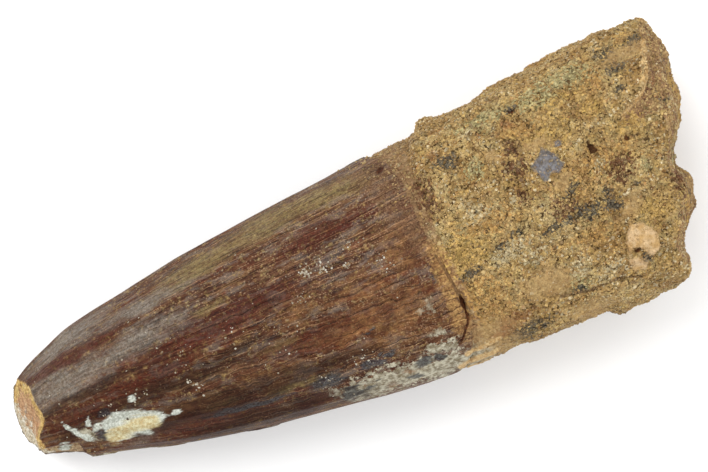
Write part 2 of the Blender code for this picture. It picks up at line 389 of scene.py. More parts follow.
@dataclass(frozen=True)
class EndBreak:
    """Rough break at the root end."""

    reach: tuple[tuple[float, float], ...] = (
        (-14.0, 65.2), (-12.6, 67.0), (-11.5, 68.2), (-9.6, 68.3), (-7.6, 69.5), (-5.4, 70.9),
        (-3.5, 71.6), (-2.0, 71.1), (0.2, 71.7), (1.8, 73.0), (4.2, 74.0), (9.6, 74.4), (14.0, 73.5),
    )
    top_recedes: float = 2.6
    rear_top_recedes: float = 1.5
    underside_recedes: float = 1.8
    front_half_from: float = -1.0
    front_half_to: float = 6.0
    middle_y: float = 0.0
    middle_z: float = 10.0
    section_x: float = 70.0
    roughness: float = 0.7
    small_lump_share: float = 0.5
    lump_size: float = 3.6
    lump_slice: float = 4.0
    small_lump_size: float = 1.7
    small_lump_slice: float = 9.0

    def slice_lumps(self, y: Array, z: Array, size: float, at: float) -> Array:
        """Noise over the break's face, read from one slice."""
        places = np.stack([np.full_like(y, at * size), y, z], axis=-1)
        return lumps(places, size)

    def at(self, y: Array, z: Array, sections: Sections) -> Array:
        """x of the break."""
        _, _, under, top = sections.edges(np.array(self.section_x))
        height = (z - (under + top) / 2.0) / ((top - under) / 2.0)
        towards_front = smooth_step(self.front_half_from, self.front_half_to, y)
        upper = self.rear_top_recedes + (self.top_recedes - self.rear_top_recedes) * towards_front
        recedes = np.where(height > 0.0, upper, self.underside_recedes)
        rough = self.slice_lumps(y, z, self.lump_size, self.lump_slice)
        rough = rough + self.small_lump_share * self.slice_lumps(
            y, z, self.small_lump_size, self.small_lump_slice
        )
        return smooth_through(self.reach, y) - recedes * height * height + self.roughness * rough


TOP_MARKS = {
    "long chip near the tip": TopMark(10.8, -3.7, 3.3, 1.4, -0.35),
    "bone plate": TopMark(64.2, -7.2, 2.0, 1.6, 0.45),
    "small bone plate": TopMark(63.8, -9.3, 1.1, 0.9, 0.4),
    "hollow beside the plates": TopMark(65.6, -8.6, 1.2, 1.1, -0.6),
    "brown pit": TopMark(64.0, 3.0, 1.0, 1.2, -0.55),
    "fallen corner": TopMark(70.5, 2.2, 4.6, 3.0, -1.1),
    "bare patch by the end": TopMark(70.8, 9.4, 2.0, 1.2, -0.35),
    "high middle of the crust": TopMark(56.0, 1.0, 5.5, 5.0, 0.45),
    "dip along the crust": TopMark(55.5, -5.2, 6.5, 1.8, -0.3),
}
EDGE_KNOBS = {
    "first knob of the front edge": EdgeKnob(50.1, 0.0, 0.8, 0.45),
    "dip after the first knob": EdgeKnob(54.0, 0.0, 1.6, -0.5),
    "dip behind the crown": EdgeKnob(49.7, 180.0, 1.0, -0.35),
    "knob at the rear corner": EdgeKnob(66.5, 180.0, 0.9, 0.3),
}


@dataclass(frozen=True)
class ToothForm:
    """The solid's own form, as a function of x and angle."""

    sections: Sections = Sections()
    edge: EnamelEdge = EnamelEdge()
    flutes: Flutes = Flutes()
    crust: CrustForm = CrustForm()
    crack: Crack = Crack()
    lost: LostEnamel = LostEnamel()
    tip: TipBreak = TipBreak()
    end: EndBreak = EndBreak()
    rim_steps: int = 12

    def side(self, x: Array, angle: Array) -> Array:
        """Finds points of the tooth's side.

        Args:
            x: Places along the tooth.
            angle: Angles round it.

        Returns:
            The points, with their three coordinates last.
        """
        x, angle = np.broadcast_arrays(x, angle)
        y, z, across, upward = self.sections.around(x, angle)
        edge = self.edge.at(angle)
        cover = self.crust.cover(x, angle, edge)
        relief = self.flutes.relief(x, angle) + self.crust.relief(angle, cover)
        relief = relief + self.crack.relief(x, y, angle, edge)
        relief = relief - self.lost.depth * self.lost.share(x, angle)
        relief = relief + self.crust.unevenness(np.stack([x, y, z], axis=-1), cover)
        upper = np.sin(angle) > 0.0
        for mark in TOP_MARKS.values():
            relief = relief + np.where(upper, mark.relief(x, y), 0.0)
        for knob in EDGE_KNOBS.values():
            relief = relief + knob.relief(x, angle)
        return np.stack([x, y + relief * across, z + relief * upward], axis=-1)

    def end_at(self, y: Array, z: Array) -> Array:
        """x of the break at the root end."""
        return self.end.at(y, z, self.sections)

    def rim(self, break_at: Callable[[Array, Array], Array], start_x: float, angle: Array) -> Array:
        """Finds where the side meets a break.

        Args:
            break_at: Gives the break's x from y and z.
            start_x: A first guess.
            angle: Angles round the tooth.

        Returns:
            The rim's points.
        """
        points = self.side(np.full_like(angle, start_x), angle)
        for _ in range(self.rim_steps):
            points = self.side(break_at(points[..., 1], points[..., 2]), angle)
        return points


class Stain(Enum):
    """Colours and deposits that lie on the tooth in patches, among them painted sheen and painted shade.
    Each is an attribute of the skin.
    """

    # Painted sheen: lighter grey bands where light glances off the flutes near the tip
    GREY_SHEEN = "grey_sheen"
    OLIVE = "olive"
    LIME = "lime"
    # Maroon stains, and painted shade along the shaded side of one flute near the tip
    MAROON = "maroon"
    RUST = "rust"
    SLATE = "slate"
    # Painted shade: dark bands on the lower side of the crown, which turns away from the light, and on a
    # flute's shaded side; also small dark spots
    DARK = "dark"
    TAN = "tan"
    UMBER = "umber"
    WHITE = "white"
    CHIP_CREAM = "chip_cream"
    YELLOW = "yellow"
    OCHRE = "ochre"
    GREY_GREEN = "grey_green"
    BROWN_GRAINS = "brown_grains"
    BLACK_GRAINS = "black_grains"
    PALE_GRAINS = "pale_grains"
    CLAY = "clay"
    PEACH = "peach"
    RED = "red"
    BLUE_STONE = "blue_stone"
    CREAM_RIDGE = "cream_ridge"
    FAINT_LINE = "faint_line"
    SHADOW = "shadow"


@dataclass(frozen=True)
class Patch:
    """Oval mark on the upper side, in millimetres, turned by degrees."""

    x: float
    y: float
    half_length: float
    half_width: float
    degrees: float = 0.0

    def reach(self, x: Array, y: Array) -> Array:
        """1 in the middle, 0 on the oval and below 0 outside it."""
        turn = math.radians(self.degrees)
        along = (x - self.x) * math.cos(turn) + (y - self.y) * math.sin(turn)
        across = (y - self.y) * math.cos(turn) - (x - self.x) * math.sin(turn)
        return 1.0 - np.hypot(along / self.half_length, across / self.half_width)


def from_segment(x: Array, y: Array, start: tuple[float, float], end: tuple[float, float]) -> Array:
    """Finds how far places are from a straight piece.

    Args:
        x: The places' x.
        y: The places' y.
        start: One end of the piece.
        end: Its other end.

    Returns:
        The distances.
    """
    along, across = end[0] - start[0], end[1] - start[1]
    share = ((x - start[0]) * along + (y - start[1]) * across) / (along**2 + across**2)
    share = np.clip(share, 0.0, 1.0)
    return np.hypot(x - start[0] - share * along, y - start[1] - share * across)


@dataclass(frozen=True)
class Trace:
    """Line mark on the upper side, in millimetres: its points and half its width."""

    points: tuple[tuple[float, float], ...]
    half_width: float

    def reach(self, x: Array, y: Array) -> Array:
        """1 on the line, 0 at its half width and below 0 further off."""
        pieces = [from_segment(x, y, *piece) for piece in zip(self.points, self.points[1:])]
        return 1.0 - np.minimum.reduce(pieces) / self.half_width


@dataclass(frozen=True)
class Outline:
    """Mark on the upper side with corners, in millimetres."""

    corners: tuple[tuple[float, float], ...]
    soft: float = 0.5

    def reach(self, x: Array, y: Array) -> Array:
        """0 on the outline, above 0 inside and below 0 outside it."""
        inside = np.zeros(x.shape, dtype=bool)
        nearest = np.full(x.shape, np.inf)
        for start, end in zip(self.corners, (*self.corners[1:], self.corners[0])):
            nearest = np.minimum(nearest, from_segment(x, y, start, end))
            beside = (start[1] > y) != (end[1] > y)
            slope = (end[0] - start[0]) / (end[1] - start[1])
            inside = inside ^ (beside & (x < start[0] + slope * (y - start[1])))
        return np.where(inside, nearest, -nearest) / self.soft


CRACK_LINE = Trace(((45.5, -0.4), (45.8, -2.4), (46.0, -4.4), (46.2, -5.8), (46.1, -6.7)), 0.12)
CRACK_END = Trace(((46.1, -6.4), (45.8, -7.6), (45.3, -8.1), (44.8, -8.8), (44.2, -9.2)), 0.12)
CRACK_GAPE = Patch(46.1, -5.7, 0.3, 0.7)
BULGE_LINE = Trace(((55.0, -9.0), (57.6, -9.6), (60.9, -9.7), (63.0, -10.4)), 0.14)
# Crest at the front corner, beyond which the tooth is broken: y and x
END_CREST = (
    (3.6, 66.4), (4.5, 67.3), (5.1, 68.2), (5.5, 69.4), (6.2, 70.3), (7.7, 71.2), (9.1, 71.7),
    (10.3, 72.6), (13.0, 73.1),
)

MARKS: dict[Stain, tuple[Patch | Trace | Outline, ...]] = {
    # Painted sheen on the lit sides of the flutes near the tip
    Stain.GREY_SHEEN: (
        Patch(6.5, 3.0, 6.5, 1.5, 4), Patch(14.0, 3.6, 6.0, 1.0, 6), Patch(8.5, 6.9, 5.0, 0.9, 14),
        Patch(17.5, 6.8, 5.0, 0.6, 6), Patch(11.6, -5.4, 1.4, 0.5),
    ),
    Stain.OLIVE: (
        Patch(24.3, 8.1, 5.0, 0.9, 6), Patch(32.0, 9.1, 5.0, 1.0, 4), Patch(38.0, 9.3, 5.0, 0.9, 0),
        Patch(20.3, -5.3, 1.6, 0.4, -6), Patch(27.9, -6.6, 3.0, 0.4, -8), Patch(23.4, 4.0, 1.6, 0.4),
        Patch(28.5, -2.3, 1.8, 0.4),
    ),
    Stain.LIME: (
        Trace(((33.1, -9.6), (36.5, -9.9), (40.0, -10.2), (44.2, -10.8), (46.2, -11.2)), 1.15),
        Patch(31.2, -8.7, 0.8, 0.4, -10), Patch(41.6, -8.6, 0.8, 0.5), Patch(43.1, -8.8, 1.0, 0.6),
        Patch(42.8, -7.3, 1.0, 0.3, -5), Patch(37.6, -8.5, 0.9, 0.3, -8), Patch(43.1, -4.6, 0.7, 0.5, 60),
        Patch(41.7, -4.9, 0.5, 0.25), Patch(6.5, -2.6, 1.2, 0.5, -40),
    ),
    # Maroon stains; the long thin patch at x 8, y 5 is painted shade on the shaded side of a flute
    Stain.MAROON: (
        Patch(18.0, -6.0, 8.0, 1.6, -8), Patch(36.0, 6.1, 4.5, 1.1, 2), Patch(8.0, 5.0, 7.0, 0.55, 6),
        Patch(24.0, 2.0, 9.0, 1.6, 2), Patch(33.0, -3.0, 8.0, 1.2), Patch(14.0, 0.0, 6.0, 0.8),
        Patch(28.8, -8.8, 2.4, 0.8), Patch(7.0, -0.6, 4.0, 1.1),
    ),
    Stain.RUST: (
        Patch(37.8, -0.5, 3.0, 1.1), Patch(42.6, 1.6, 2.2, 2.8), Patch(31.3, 0.1, 2.4, 0.7),
        Patch(38.5, -4.2, 5.6, 2.6, -3), Patch(26.0, -4.6, 4.0, 0.7, -4), Patch(17.0, -4.2, 3.0, 0.6, -6),
        Patch(36.5, -10.3, 0.6, 0.4), Patch(38.6, -9.6, 1.0, 0.15),
    ),
    Stain.SLATE: (
        Patch(31.1, -7.5, 1.7, 0.6, -6), Patch(35.6, -7.7, 1.3, 0.5, -4), Patch(40.4, -9.2, 0.9, 0.4),
        Patch(37.3, -7.1, 1.0, 0.35), Patch(32.6, -9.4, 1.0, 0.6), Patch(22.5, -6.5, 4.0, 0.4, -8),
        Patch(44.6, -2.4, 0.45, 0.5), Patch(34.6, -9.4, 0.9, 0.25, -8), Patch(38.9, -10.4, 0.8, 0.3, -8),
        Patch(42.0, -9.4, 0.5, 0.3), Patch(8.3, -3.4, 0.9, 0.8), Patch(9.4, -1.6, 0.8, 0.4),
        Patch(36.7, -4.6, 0.8, 0.2),
    ),
    # The long dark bands are painted shade on the lower side of the crown and on a flute's shaded side; the
    # small patches are dark spots
    Stain.DARK: (
        Patch(16.0, -1.6, 9.0, 0.9, -2), Patch(20.0, -4.9, 10.0, 1.3, -7),
        Patch(24.0, -8.2, 9.0, 1.0, -8), Patch(9.0, 1.2, 6.0, 0.5, 2), Patch(15.4, -2.0, 0.9, 0.3, -8),
        Patch(30.0, -5.8, 7.0, 0.7, -4), Patch(33.3, -6.1, 0.5, 0.25), Patch(27.3, -8.0, 0.8, 0.2),
        Patch(27.6, -4.6, 0.5, 0.2), Patch(33.8, -10.0, 0.4, 0.5), Patch(43.2, 9.6, 1.0, 0.4, 20),
        Patch(24.0, -0.8, 2.2, 0.4), Patch(28.0, -4.9, 1.6, 0.4), Patch(5.0, -1.9, 1.4, 0.7),
    ),
    Stain.TAN: (Trace(((45.5, 0.4), (45.4, -3.3), (45.1, -6.0), (45.0, -7.8)), 0.8),),
    Stain.UMBER: (
        Outline(
            (
                (41.0, 10.0), (42.6, 4.4), (44.4, 0.4), (46.0, 1.6), (46.4, 5.0), (47.3, 8.0),
                (48.4, 10.6), (47.0, 13.0),
            ),
            soft=1.0,
        ),
    ),
    Stain.WHITE: (
        Outline(
            (
                (8.3, -2.5), (9.1, -1.9), (10.2, -1.7), (12.3, -2.3), (14.3, -3.3), (15.0, -4.1),
                (14.2, -4.4), (12.9, -4.5), (12.8, -5.2), (11.4, -4.6), (9.3, -4.7), (8.2, -4.1),
                (8.7, -3.3),
            ),
        ),
        Patch(5.2, -1.2, 0.7, 0.2, -65), Patch(5.9, -2.1, 0.7, 0.25, -50),
        Patch(6.7, -3.0, 0.6, 0.3, -30), Patch(7.4, -1.6, 0.5, 0.25, 60), Patch(8.0, -2.4, 0.5, 0.3, 20),
        Patch(12.5, -1.2, 0.4, 0.3), Patch(15.9, -4.2, 0.5, 0.25), Patch(3.9, -3.0, 0.7, 0.4),
    ),
    Stain.CHIP_CREAM: (Trace(((9.0, -3.9), (10.2, -3.8), (11.6, -3.6), (13.4, -4.0)), 0.7),),
    Stain.YELLOW: (
        Patch(60.4, 6.2, 2.2, 1.3), Patch(64.8, 6.7, 1.1, 0.7), Patch(67.5, 3.9, 1.4, 0.8),
        Patch(66.5, -5.0, 1.6, 1.2), Patch(62.0, 8.6, 2.0, 0.8), Patch(48.6, -1.2, 2.2, 2.2),
    ),
    Stain.OCHRE: (
        Patch(66.2, 9.3, 1.2, 1.6), Patch(64.0, 1.0, 3.2, 1.6), Patch(60.6, -4.6, 1.8, 0.8),
        Patch(48.4, -6.0, 2.0, 2.4), Patch(52.0, 0.6, 2.6, 1.2), Patch(58.0, 7.4, 1.6, 0.8),
    ),
    Stain.GREY_GREEN: (
        Patch(63.9, 10.3, 2.6, 0.9), Patch(60.8, 9.8, 2.0, 0.8), Patch(57.3, -8.2, 0.9, 1.3),
        Patch(52.2, 5.6, 1.0, 0.9), Patch(55.0, 9.8, 2.4, 0.7), Patch(67.4, -0.5, 0.6, 0.5),
    ),
    Stain.BROWN_GRAINS: (
        Patch(56.4, 6.1, 0.8, 0.8), Patch(55.6, 4.1, 1.0, 1.0), Patch(55.5, 1.5, 0.6, 0.6),
        Patch(47.0, 5.0, 0.9, 1.6), Patch(65.1, -0.6, 0.6, 0.7), Patch(70.0, -3.4, 0.8, 1.4),
        Patch(58.6, -1.4, 1.4, 0.9), Patch(65.4, 0.6, 1.4, 0.9),
    ),
    Stain.BLACK_GRAINS: (
        Patch(60.0, -0.1, 0.8, 0.5), Patch(63.2, -1.3, 0.5, 0.4), Patch(60.8, -2.4, 1.2, 0.7),
        Patch(62.9, -2.6, 0.9, 0.7), Patch(58.8, -2.6, 0.6, 0.5), Patch(56.8, -2.7, 1.0, 0.5),
        Patch(53.7, -1.7, 0.7, 0.4), Patch(52.0, -2.2, 1.0, 0.5, 12), Patch(48.1, -3.4, 1.0, 0.45),
        Patch(66.2, -2.0, 0.4, 0.3), Patch(70.7, -3.0, 0.5, 0.7), Patch(69.2, -6.7, 0.5, 0.8),
        Patch(64.2, -8.9, 0.5, 0.35), Patch(68.8, 10.9, 1.0, 0.6), Patch(71.6, 10.9, 0.9, 0.4),
        Patch(68.9, 9.1, 0.9, 0.5), Patch(68.3, 7.2, 0.5, 0.4), Patch(50.3, 7.5, 1.1, 0.6),
        Patch(57.8, 9.5, 0.5, 0.3), Patch(57.0, -9.2, 0.6, 0.3), Patch(50.9, -10.9, 1.8, 0.7),
        Patch(72.2, 4.4, 0.5, 0.8),
    ),
    Stain.PALE_GRAINS: (
        Patch(54.4, 3.2, 0.3, 0.4), Patch(54.5, 1.7, 0.35, 0.6), Patch(53.1, 8.9, 0.6, 0.45),
        Patch(50.7, 1.8, 1.1, 0.9), Patch(52.2, -3.0, 2.0, 0.8, 10), Patch(63.4, 1.1, 0.6, 0.5),
        Patch(54.0, -4.4, 1.4, 0.6), Patch(57.8, -7.0, 1.0, 1.0), Patch(60.4, -8.4, 1.6, 0.6, 20),
    ),
    Stain.CLAY: (
        Patch(54.6, -7.3, 2.6, 1.4, -6), Patch(70.6, 10.1, 2.0, 0.75), Patch(58.7, 5.4, 1.3, 0.6),
        Patch(59.5, 1.2, 1.1, 0.7), Patch(57.3, -11.3, 2.4, 0.8), Patch(47.5, -9.5, 2.0, 1.2, -6),
        Patch(48.2, -11.2, 1.9, 0.8, -4), Patch(64.6, -3.6, 1.6, 0.7, 30), Patch(54.4, 6.1, 0.4, 0.5),
    ),
    Stain.PEACH: (
        Outline(
            (
                (63.9, -5.1), (65.0, -5.6), (65.9, -7.1), (65.6, -8.4), (64.5, -8.9), (63.9, -7.7),
                (63.2, -7.4), (62.6, -8.1), (62.8, -6.6),
            ),
        ),
        Outline(((62.3, -8.2), (63.3, -8.4), (64.1, -9.2), (63.6, -9.9), (62.4, -9.4))),
    ),
    Stain.RED: (
        Patch(50.5, -9.2, 1.7, 0.6), Patch(48.6, -9.9, 1.1, 0.6), Patch(57.1, 8.3, 0.6, 0.5),
        Patch(49.1, 8.6, 0.5, 0.5), Patch(72.4, 6.3, 0.6, 0.6),
    ),
    Stain.BLUE_STONE: (
        Outline(
            (
                (57.3, 3.8), (58.4, 4.3), (59.0, 5.0), (59.8, 4.1), (60.4, 2.6), (59.6, 2.1), (58.9, 2.4),
                (58.0, 1.7), (57.6, 2.8),
            ),
        ),
        Patch(60.6, 4.7, 0.35, 0.35),
    ),
    Stain.CREAM_RIDGE: (
        Trace(tuple((x, y) for y, x in END_CREST[1:-1]), 0.3),
        Trace(((44.4, -10.3), (46.4, -10.5), (48.0, -10.3)), 0.2),
        Trace(((43.4, -11.2), (45.4, -11.3), (47.4, -11.4)), 0.25),
        Trace(((44.2, -11.9), (46.6, -12.1)), 0.2),
    ),
    Stain.FAINT_LINE: (BULGE_LINE, CRACK_LINE, Trace(((67.6, 2.4), (68.9, 2.2), (69.8, 2.9)), 0.12)),
    Stain.SHADOW: (
        CRACK_END,
        CRACK_GAPE,
        Outline(((63.1, 2.4), (64.0, 2.5), (63.7, 3.4), (63.5, 4.1), (63.2, 3.4)), 0.4),
        Patch(67.0, 2.5, 0.3, 0.3), Patch(63.4, -7.9, 0.3, 0.25), Patch(57.8, 9.5, 0.3, 0.25),
        Patch(44.0, 9.4, 0.5, 0.25, 30), Patch(11.2, -2.9, 0.2, 0.14),
    ),
}
# Stains whose marks keep the outline they are given
FIRM_STAINS = (
    Stain.WHITE,
    Stain.CHIP_CREAM,
    Stain.PEACH,
    Stain.BLUE_STONE,
    Stain.SHADOW,
    Stain.FAINT_LINE,
    Stain.CREAM_RIDGE,
)
# Stains that lie smooth and bare of sand, and lines that few grains cover
SMOOTH_STAINS = (Stain.CLAY, Stain.BLUE_STONE, Stain.PEACH)
BARE_LINES = (Stain.CREAM_RIDGE, Stain.FAINT_LINE)
# How far stains stand out of the skin, or lie below it, in millimetres
STAIN_HEIGHTS = {
    Stain.LIME: 0.11,
    Stain.WHITE: 0.1,
    Stain.PEACH: 0.25,
    Stain.CREAM_RIDGE: 0.1,
    Stain.PALE_GRAINS: 0.08,
    Stain.BLACK_GRAINS: -0.12,
    Stain.BROWN_GRAINS: -0.1,
    Stain.FAINT_LINE: -0.1,
    Stain.SHADOW: -0.15,
}


@dataclass(frozen=True)
class HiddenStain:
    """How a stain turns up by chance on the sides that the patches don't reach."""

    size: float
    rarity: float
    on_crown: bool
    on_root: bool
    stretch: float = 1.0


HIDDEN_STAINS: dict[Stain, HiddenStain] = {
    # The grey sheen is a painted sheen, scattered by chance over the crown's hidden sides
    Stain.GREY_SHEEN: HiddenStain(2.2, 0.18, True, False, 5.0),
    Stain.OLIVE: HiddenStain(2.8, 0.16, True, False, 5.0),
    Stain.MAROON: HiddenStain(1.9, 0.05, True, False, 6.0),
    Stain.RUST: HiddenStain(2.4, 0.18, True, False, 3.0),
    Stain.SLATE: HiddenStain(1.3, 0.32, True, False, 4.0),
    Stain.DARK: HiddenStain(1.6, 0.12, True, False, 5.0),
    Stain.LIME: HiddenStain(1.8, 0.34, True, False, 2.0),
    Stain.YELLOW: HiddenStain(3.4, 0.2, False, True),
    Stain.OCHRE: HiddenStain(3.0, 0.14, False, True),
    Stain.GREY_GREEN: HiddenStain(2.8, 0.3, False, True),
    Stain.BROWN_GRAINS: HiddenStain(2.0, 0.22, False, True),
    Stain.BLACK_GRAINS: HiddenStain(1.7, 0.26, False, True),
    Stain.PALE_GRAINS: HiddenStain(1.8, 0.34, False, True),
    Stain.CLAY: HiddenStain(3.2, 0.30, False, True),
    Stain.RED: HiddenStain(1.9, 0.48, False, True),
}


@dataclass
class SkinPoints:
    """What is known of each vertex of the skin before its fine relief."""

    place: Array
    angle: Array
    on_tip: Array
    on_end: Array
    edge: Array
    cover: Array
    lost: Array
    tip_share: Array
    end_share: Array
    normal: Array
    shake_size: float = 1.7
    shake_along: float = 0.5
    shake_across: float = 0.4
    small_shake_size: float = 0.6
    small_shake: float = 0.22
    upper_from: float = -0.1
    upper_to: float = 0.2
    end_rim_from: float = 0.7
    rear_sand_cover: float = 0.1
    rear_sand_from: float = 1.2
    rear_sand_to: float = 3.0
    chalk_half_width: float = 3.9
    chalk_half_height: float = 3.0
    chalk_slant: float = 0.6
    streak_radius: float = 10.0
    hidden_contrast: float = 3.0
    hidden_loss_on_end: float = 0.5

    @cached_property
    def shaken(self) -> tuple[Array, Array]:
        """x and y with small shifts, which give the listed marks uneven outlines."""
        along = self.shake_along * lumps(self.place, self.shake_size, (3.0, 1.0, 8.0))
        along = along + self.small_shake * lumps(self.place, self.small_shake_size, (5.0, 2.0, 1.0))
        across = self.shake_across * lumps(self.place, self.shake_size, (9.0, 4.0, 2.0))
        across = across + self.small_shake * lumps(self.place, self.small_shake_size, (1.0, 6.0, 4.0))
        return self.place[:, 0] + along, self.place[:, 1] + across

    @property
    def beyond_crest(self) -> Array:
        """Distance beyond the crest at the front corner, in millimetres."""
        x, y = self.shaken
        first, last = END_CREST[0][0], END_CREST[-1][0]
        crest = smooth_through(END_CREST, np.clip(y, first, last))
        return np.where((y > first) & (self.upper > 0.5), x - crest, -1.0)

    @property
    def upper(self) -> Array:
        """1 on the upper side and 0 on the underside and on the root end's face."""
        side = smooth_step(self.upper_from, self.upper_to, np.sin(self.angle))
        return side * smooth_step(self.end_rim_from, 1.0, self.end_share)

    @property
    def rear_sand(self) -> Array:
        """Cover of the thin sand that lies in places on the bare bone of the rear edge."""
        return self.rear_sand_cover * smooth_step(self.rear_sand_from, self.rear_sand_to, self.past_edge)

    @property
    def tip_rear(self) -> Array:
        """How far each place is towards the lower rear of the tip's break, where that is chalky."""
        tip = TipBreak()
        rearward = (tip.middle_y - self.place[:, 1]) / self.chalk_half_width
        downward = (tip.middle_z - self.place[:, 2]) / self.chalk_half_height
        return np.clip(self.chalk_slant * (rearward + downward), -1.0, 1.0)

    @property
    def past_edge(self) -> Array:
        """Distance from the enamel's edge towards the root end."""
        return self.place[:, 0] - self.edge

    @property
    def streak(self) -> Array:
        """Coordinates that run with the enamel's streaks: round the tooth and along it."""
        radius = self.streak_radius * np.minimum(self.tip_share, 1.0) * self.end_share
        around = [radius * np.cos(self.angle), radius * np.sin(self.angle)]
        return np.stack([*around, self.place[:, 0]], axis=-1)

    def along_streaks(self, stretch: float) -> Array:
        """Streak coordinates, in which patterns are that many times longer along the tooth."""
        return self.streak / np.array([1.0, 1.0, stretch])

    def stain(self, stain: Stain, shift: float) -> Array:
        """Finds how far each vertex is inside a stain.

        Args:
            stain: Which stain.
            shift: Which part of the noise places it on the hidden sides.

        Returns:
            Up to 1 inside, 0 on its edge and down to -1 outside.
        """
        reach = np.full(len(self.place), -1.0)
        firm = stain in FIRM_STAINS
        x, y = (self.place[:, 0], self.place[:, 1]) if firm else self.shaken
        for mark in MARKS[stain]:
            reach = np.maximum(reach, mark.reach(x, y) - 2.0 * (1.0 - self.upper))
        hidden = HIDDEN_STAINS.get(stain)
        if hidden:
            pattern = lumps(self.along_streaks(hidden.stretch), hidden.size, (shift, 2.0 * shift, 0.0))
            off = self.upper + np.where(self.past_edge < 0.0, not hidden.on_crown, not hidden.on_root)
            chance = self.hidden_contrast * (pattern - hidden.rarity - off)
            reach = np.maximum(reach, chance - self.hidden_loss_on_end * self.on_end)
        return np.clip(np.where(self.on_tip, -1.0, reach), -1.0, 1.0)


@dataclass
class ToothSkin:
    """The whole surface of the tooth: a ball whose rings are moved on to the form and then roughened."""

    form: ToothForm = field(default_factory=ToothForm)
    columns: int = 304
    tip_rings: int = 12
    crown_rings: int = 112
    edge_rings: int = 20
    edge_width: float = 2.0
    root_rings: int = 138
    end_rings: int = 40
    enamel_ridge_spacing: float = 0.9
    enamel_ridge_stretch: float = 9.0
    enamel_ridge_height: float = 0.045
    enamel_wave_size: float = 1.9
    enamel_wave_stretch: float = 3.0
    enamel_wave_height: float = 0.05
    enamel_thickness: float = 0.12
    enamel_thicker_from: float = 30.0
    enamel_thicker_to: float = 44.0
    cobble_size: float = 0.85
    cobble_height: float = 0.27
    gravel_size: float = 0.42
    gravel_height: float = 0.14
    pit_size: float = 2.4
    pit_depth: float = 0.5
    pit_group_size: float = 4.0
    smooth_stain_loss: float = 0.75
    bone_grain_size: float = 0.5
    bone_grain_stretch: float = 7.0
    bone_grain_height: float = 0.07
    break_lump_size: float = 1.1
    break_stone_size: float = 0.7
    break_stone_share: float = 0.6
    break_lump_height: float = 0.22
    tip_lump_height: float = 0.11
    lost_lump_size: float = 0.6
    lost_lump_height: float = 0.08
    crack_fill: float = 0.2
    gape_fill: float = 0.45
    closed_from_y: float = -5.2
    closed_to_y: float = -3.8
    crest_drop: float = 0.5
    crest_slope_width: float = 0.35
    stain_edge_size: float = 0.55
    stain_edge_height: float = 0.35
    table_clearance: float = 0.55
    sand_on_end: float = 0.85
    sand_by_edge: float = 0.7
    rear_sand_density: float = 5.0
    stray_sand: float = 0.35
    bare_share: float = 0.85

    def rings(self) -> Array:
        """Works out the rings.

        Returns:
            Points of every ring from the middle of the tip's break to the middle of the end's.
        """
        form = self.form
        angle = np.arange(self.columns) / self.columns * math.tau
        tip_rim = form.rim(form.tip.at, 0.0, angle)
        end_rim = form.rim(form.end_at, form.end.section_x, angle)
        edge = form.edge.at(angle)
        rings = []
        for i in range(self.tip_rings):
            rings.append(self.face_ring(form.tip.at, tip_rim, form.tip, i / self.tip_rings))
        rings.append(tip_rim)
        before_edge = edge - 0.5 * self.edge_width
        for i in range(1, self.crown_rings):
            x = tip_rim[:, 0] + (before_edge - tip_rim[:, 0]) * i / self.crown_rings
            rings.append(form.side(x, angle))
        for i in range(self.edge_rings):
            rings.append(form.side(before_edge + self.edge_width * i / self.edge_rings, angle))
        after_edge = before_edge + self.edge_width
        for i in range(self.root_rings):
            x = after_edge + (end_rim[:, 0] - after_edge) * i / self.root_rings
            rings.append(form.side(x, angle))
        rings.append(end_rim)
        for i in reversed(range(self.end_rings)):
            rings.append(self.face_ring(form.end_at, end_rim, form.end, i / self.end_rings))
        return np.stack(rings)

    def face_ring(
        self,
        break_at: Callable[[Array, Array], Array],
        rim: Array,
        face: TipBreak | EndBreak,
        share: float,
    ) -> Array:
        """Works out a ring on the face of a break.

        Args:
            break_at: Gives the break's x from y and z.
            rim: Points of its rim.
            face: The break, for its middle.
            share: How far the ring is from the middle to the rim.

        Returns:
            The ring's points.
        """
        y = face.middle_y + (rim[:, 1] - face.middle_y) * share
        z = face.middle_z + (rim[:, 2] - face.middle_z) * share
        return np.stack([break_at(y, z), y, z], axis=-1)

    def build_mesh(self) -> tuple[bpy.types.Mesh, SkinPoints]:
        """Makes the ball and moves its rings on to the form.

        Returns:
            The mesh in millimetres, and what is known of its vertices.
        """
        rings = self.rings()
        rows = len(rings) - 1
        ball_bm = bmesh.new()
        bmesh.ops.create_uvsphere(ball_bm, u_segments=self.columns, v_segments=rows, radius=1.0)
        bm = self.in_order(ball_bm, rows)
        mesh = bpy.data.meshes.new("tooth_skin")
        bm.to_mesh(mesh)
        bm.free()
        ball_bm.free()
        ball = read_vectors(mesh.vertices, "co")
        row = np.rint(np.arccos(np.clip(-ball[:, 2], -1.0, 1.0)) / math.pi * rows).astype(int)
        turn = np.arctan2(ball[:, 1], ball[:, 0]) / math.tau
        column = np.rint(turn * self.columns).astype(int) % self.columns
        place = rings[row, column]
        write_vectors(mesh.vertices, "co", place)
        mesh.update()
        angle = column / self.columns * math.tau
        edge = self.form.edge.at(angle)
        points = SkinPoints(
            place=place,
            angle=angle,
            on_tip=row < self.tip_rings,
            on_end=row > rows - self.end_rings,
            edge=edge,
            cover=self.form.crust.cover(place[:, 0], angle, edge),
            lost=self.form.lost.share(place[:, 0], angle),
            tip_share=np.minimum(row / self.tip_rings, 2.0),
            end_share=np.minimum((rows - row) / self.end_rings, 1.0),
            normal=read_vectors(mesh.vertex_normals, "vector"),
        )
        return mesh, points

    def in_order(self, ball: bmesh.types.BMesh, rows: int) -> bmesh.types.BMesh:
        """Makes the ball again row by row. The operator's own order varies, and the sand follows it.

        Args:
            ball: The ball as the operator makes it.
            rows: How many rows of faces it has.

        Returns:
            The same ball in an order that is the same in every run.
        """

        def spot(vert: bmesh.types.BMVert) -> tuple[int, int]:
            """Row and column of a vertex."""
            row = round(math.acos(max(-1.0, min(1.0, -vert.co.z))) / math.pi * rows)
            return row, round(math.atan2(vert.co.y, vert.co.x) / math.tau * self.columns) % self.columns

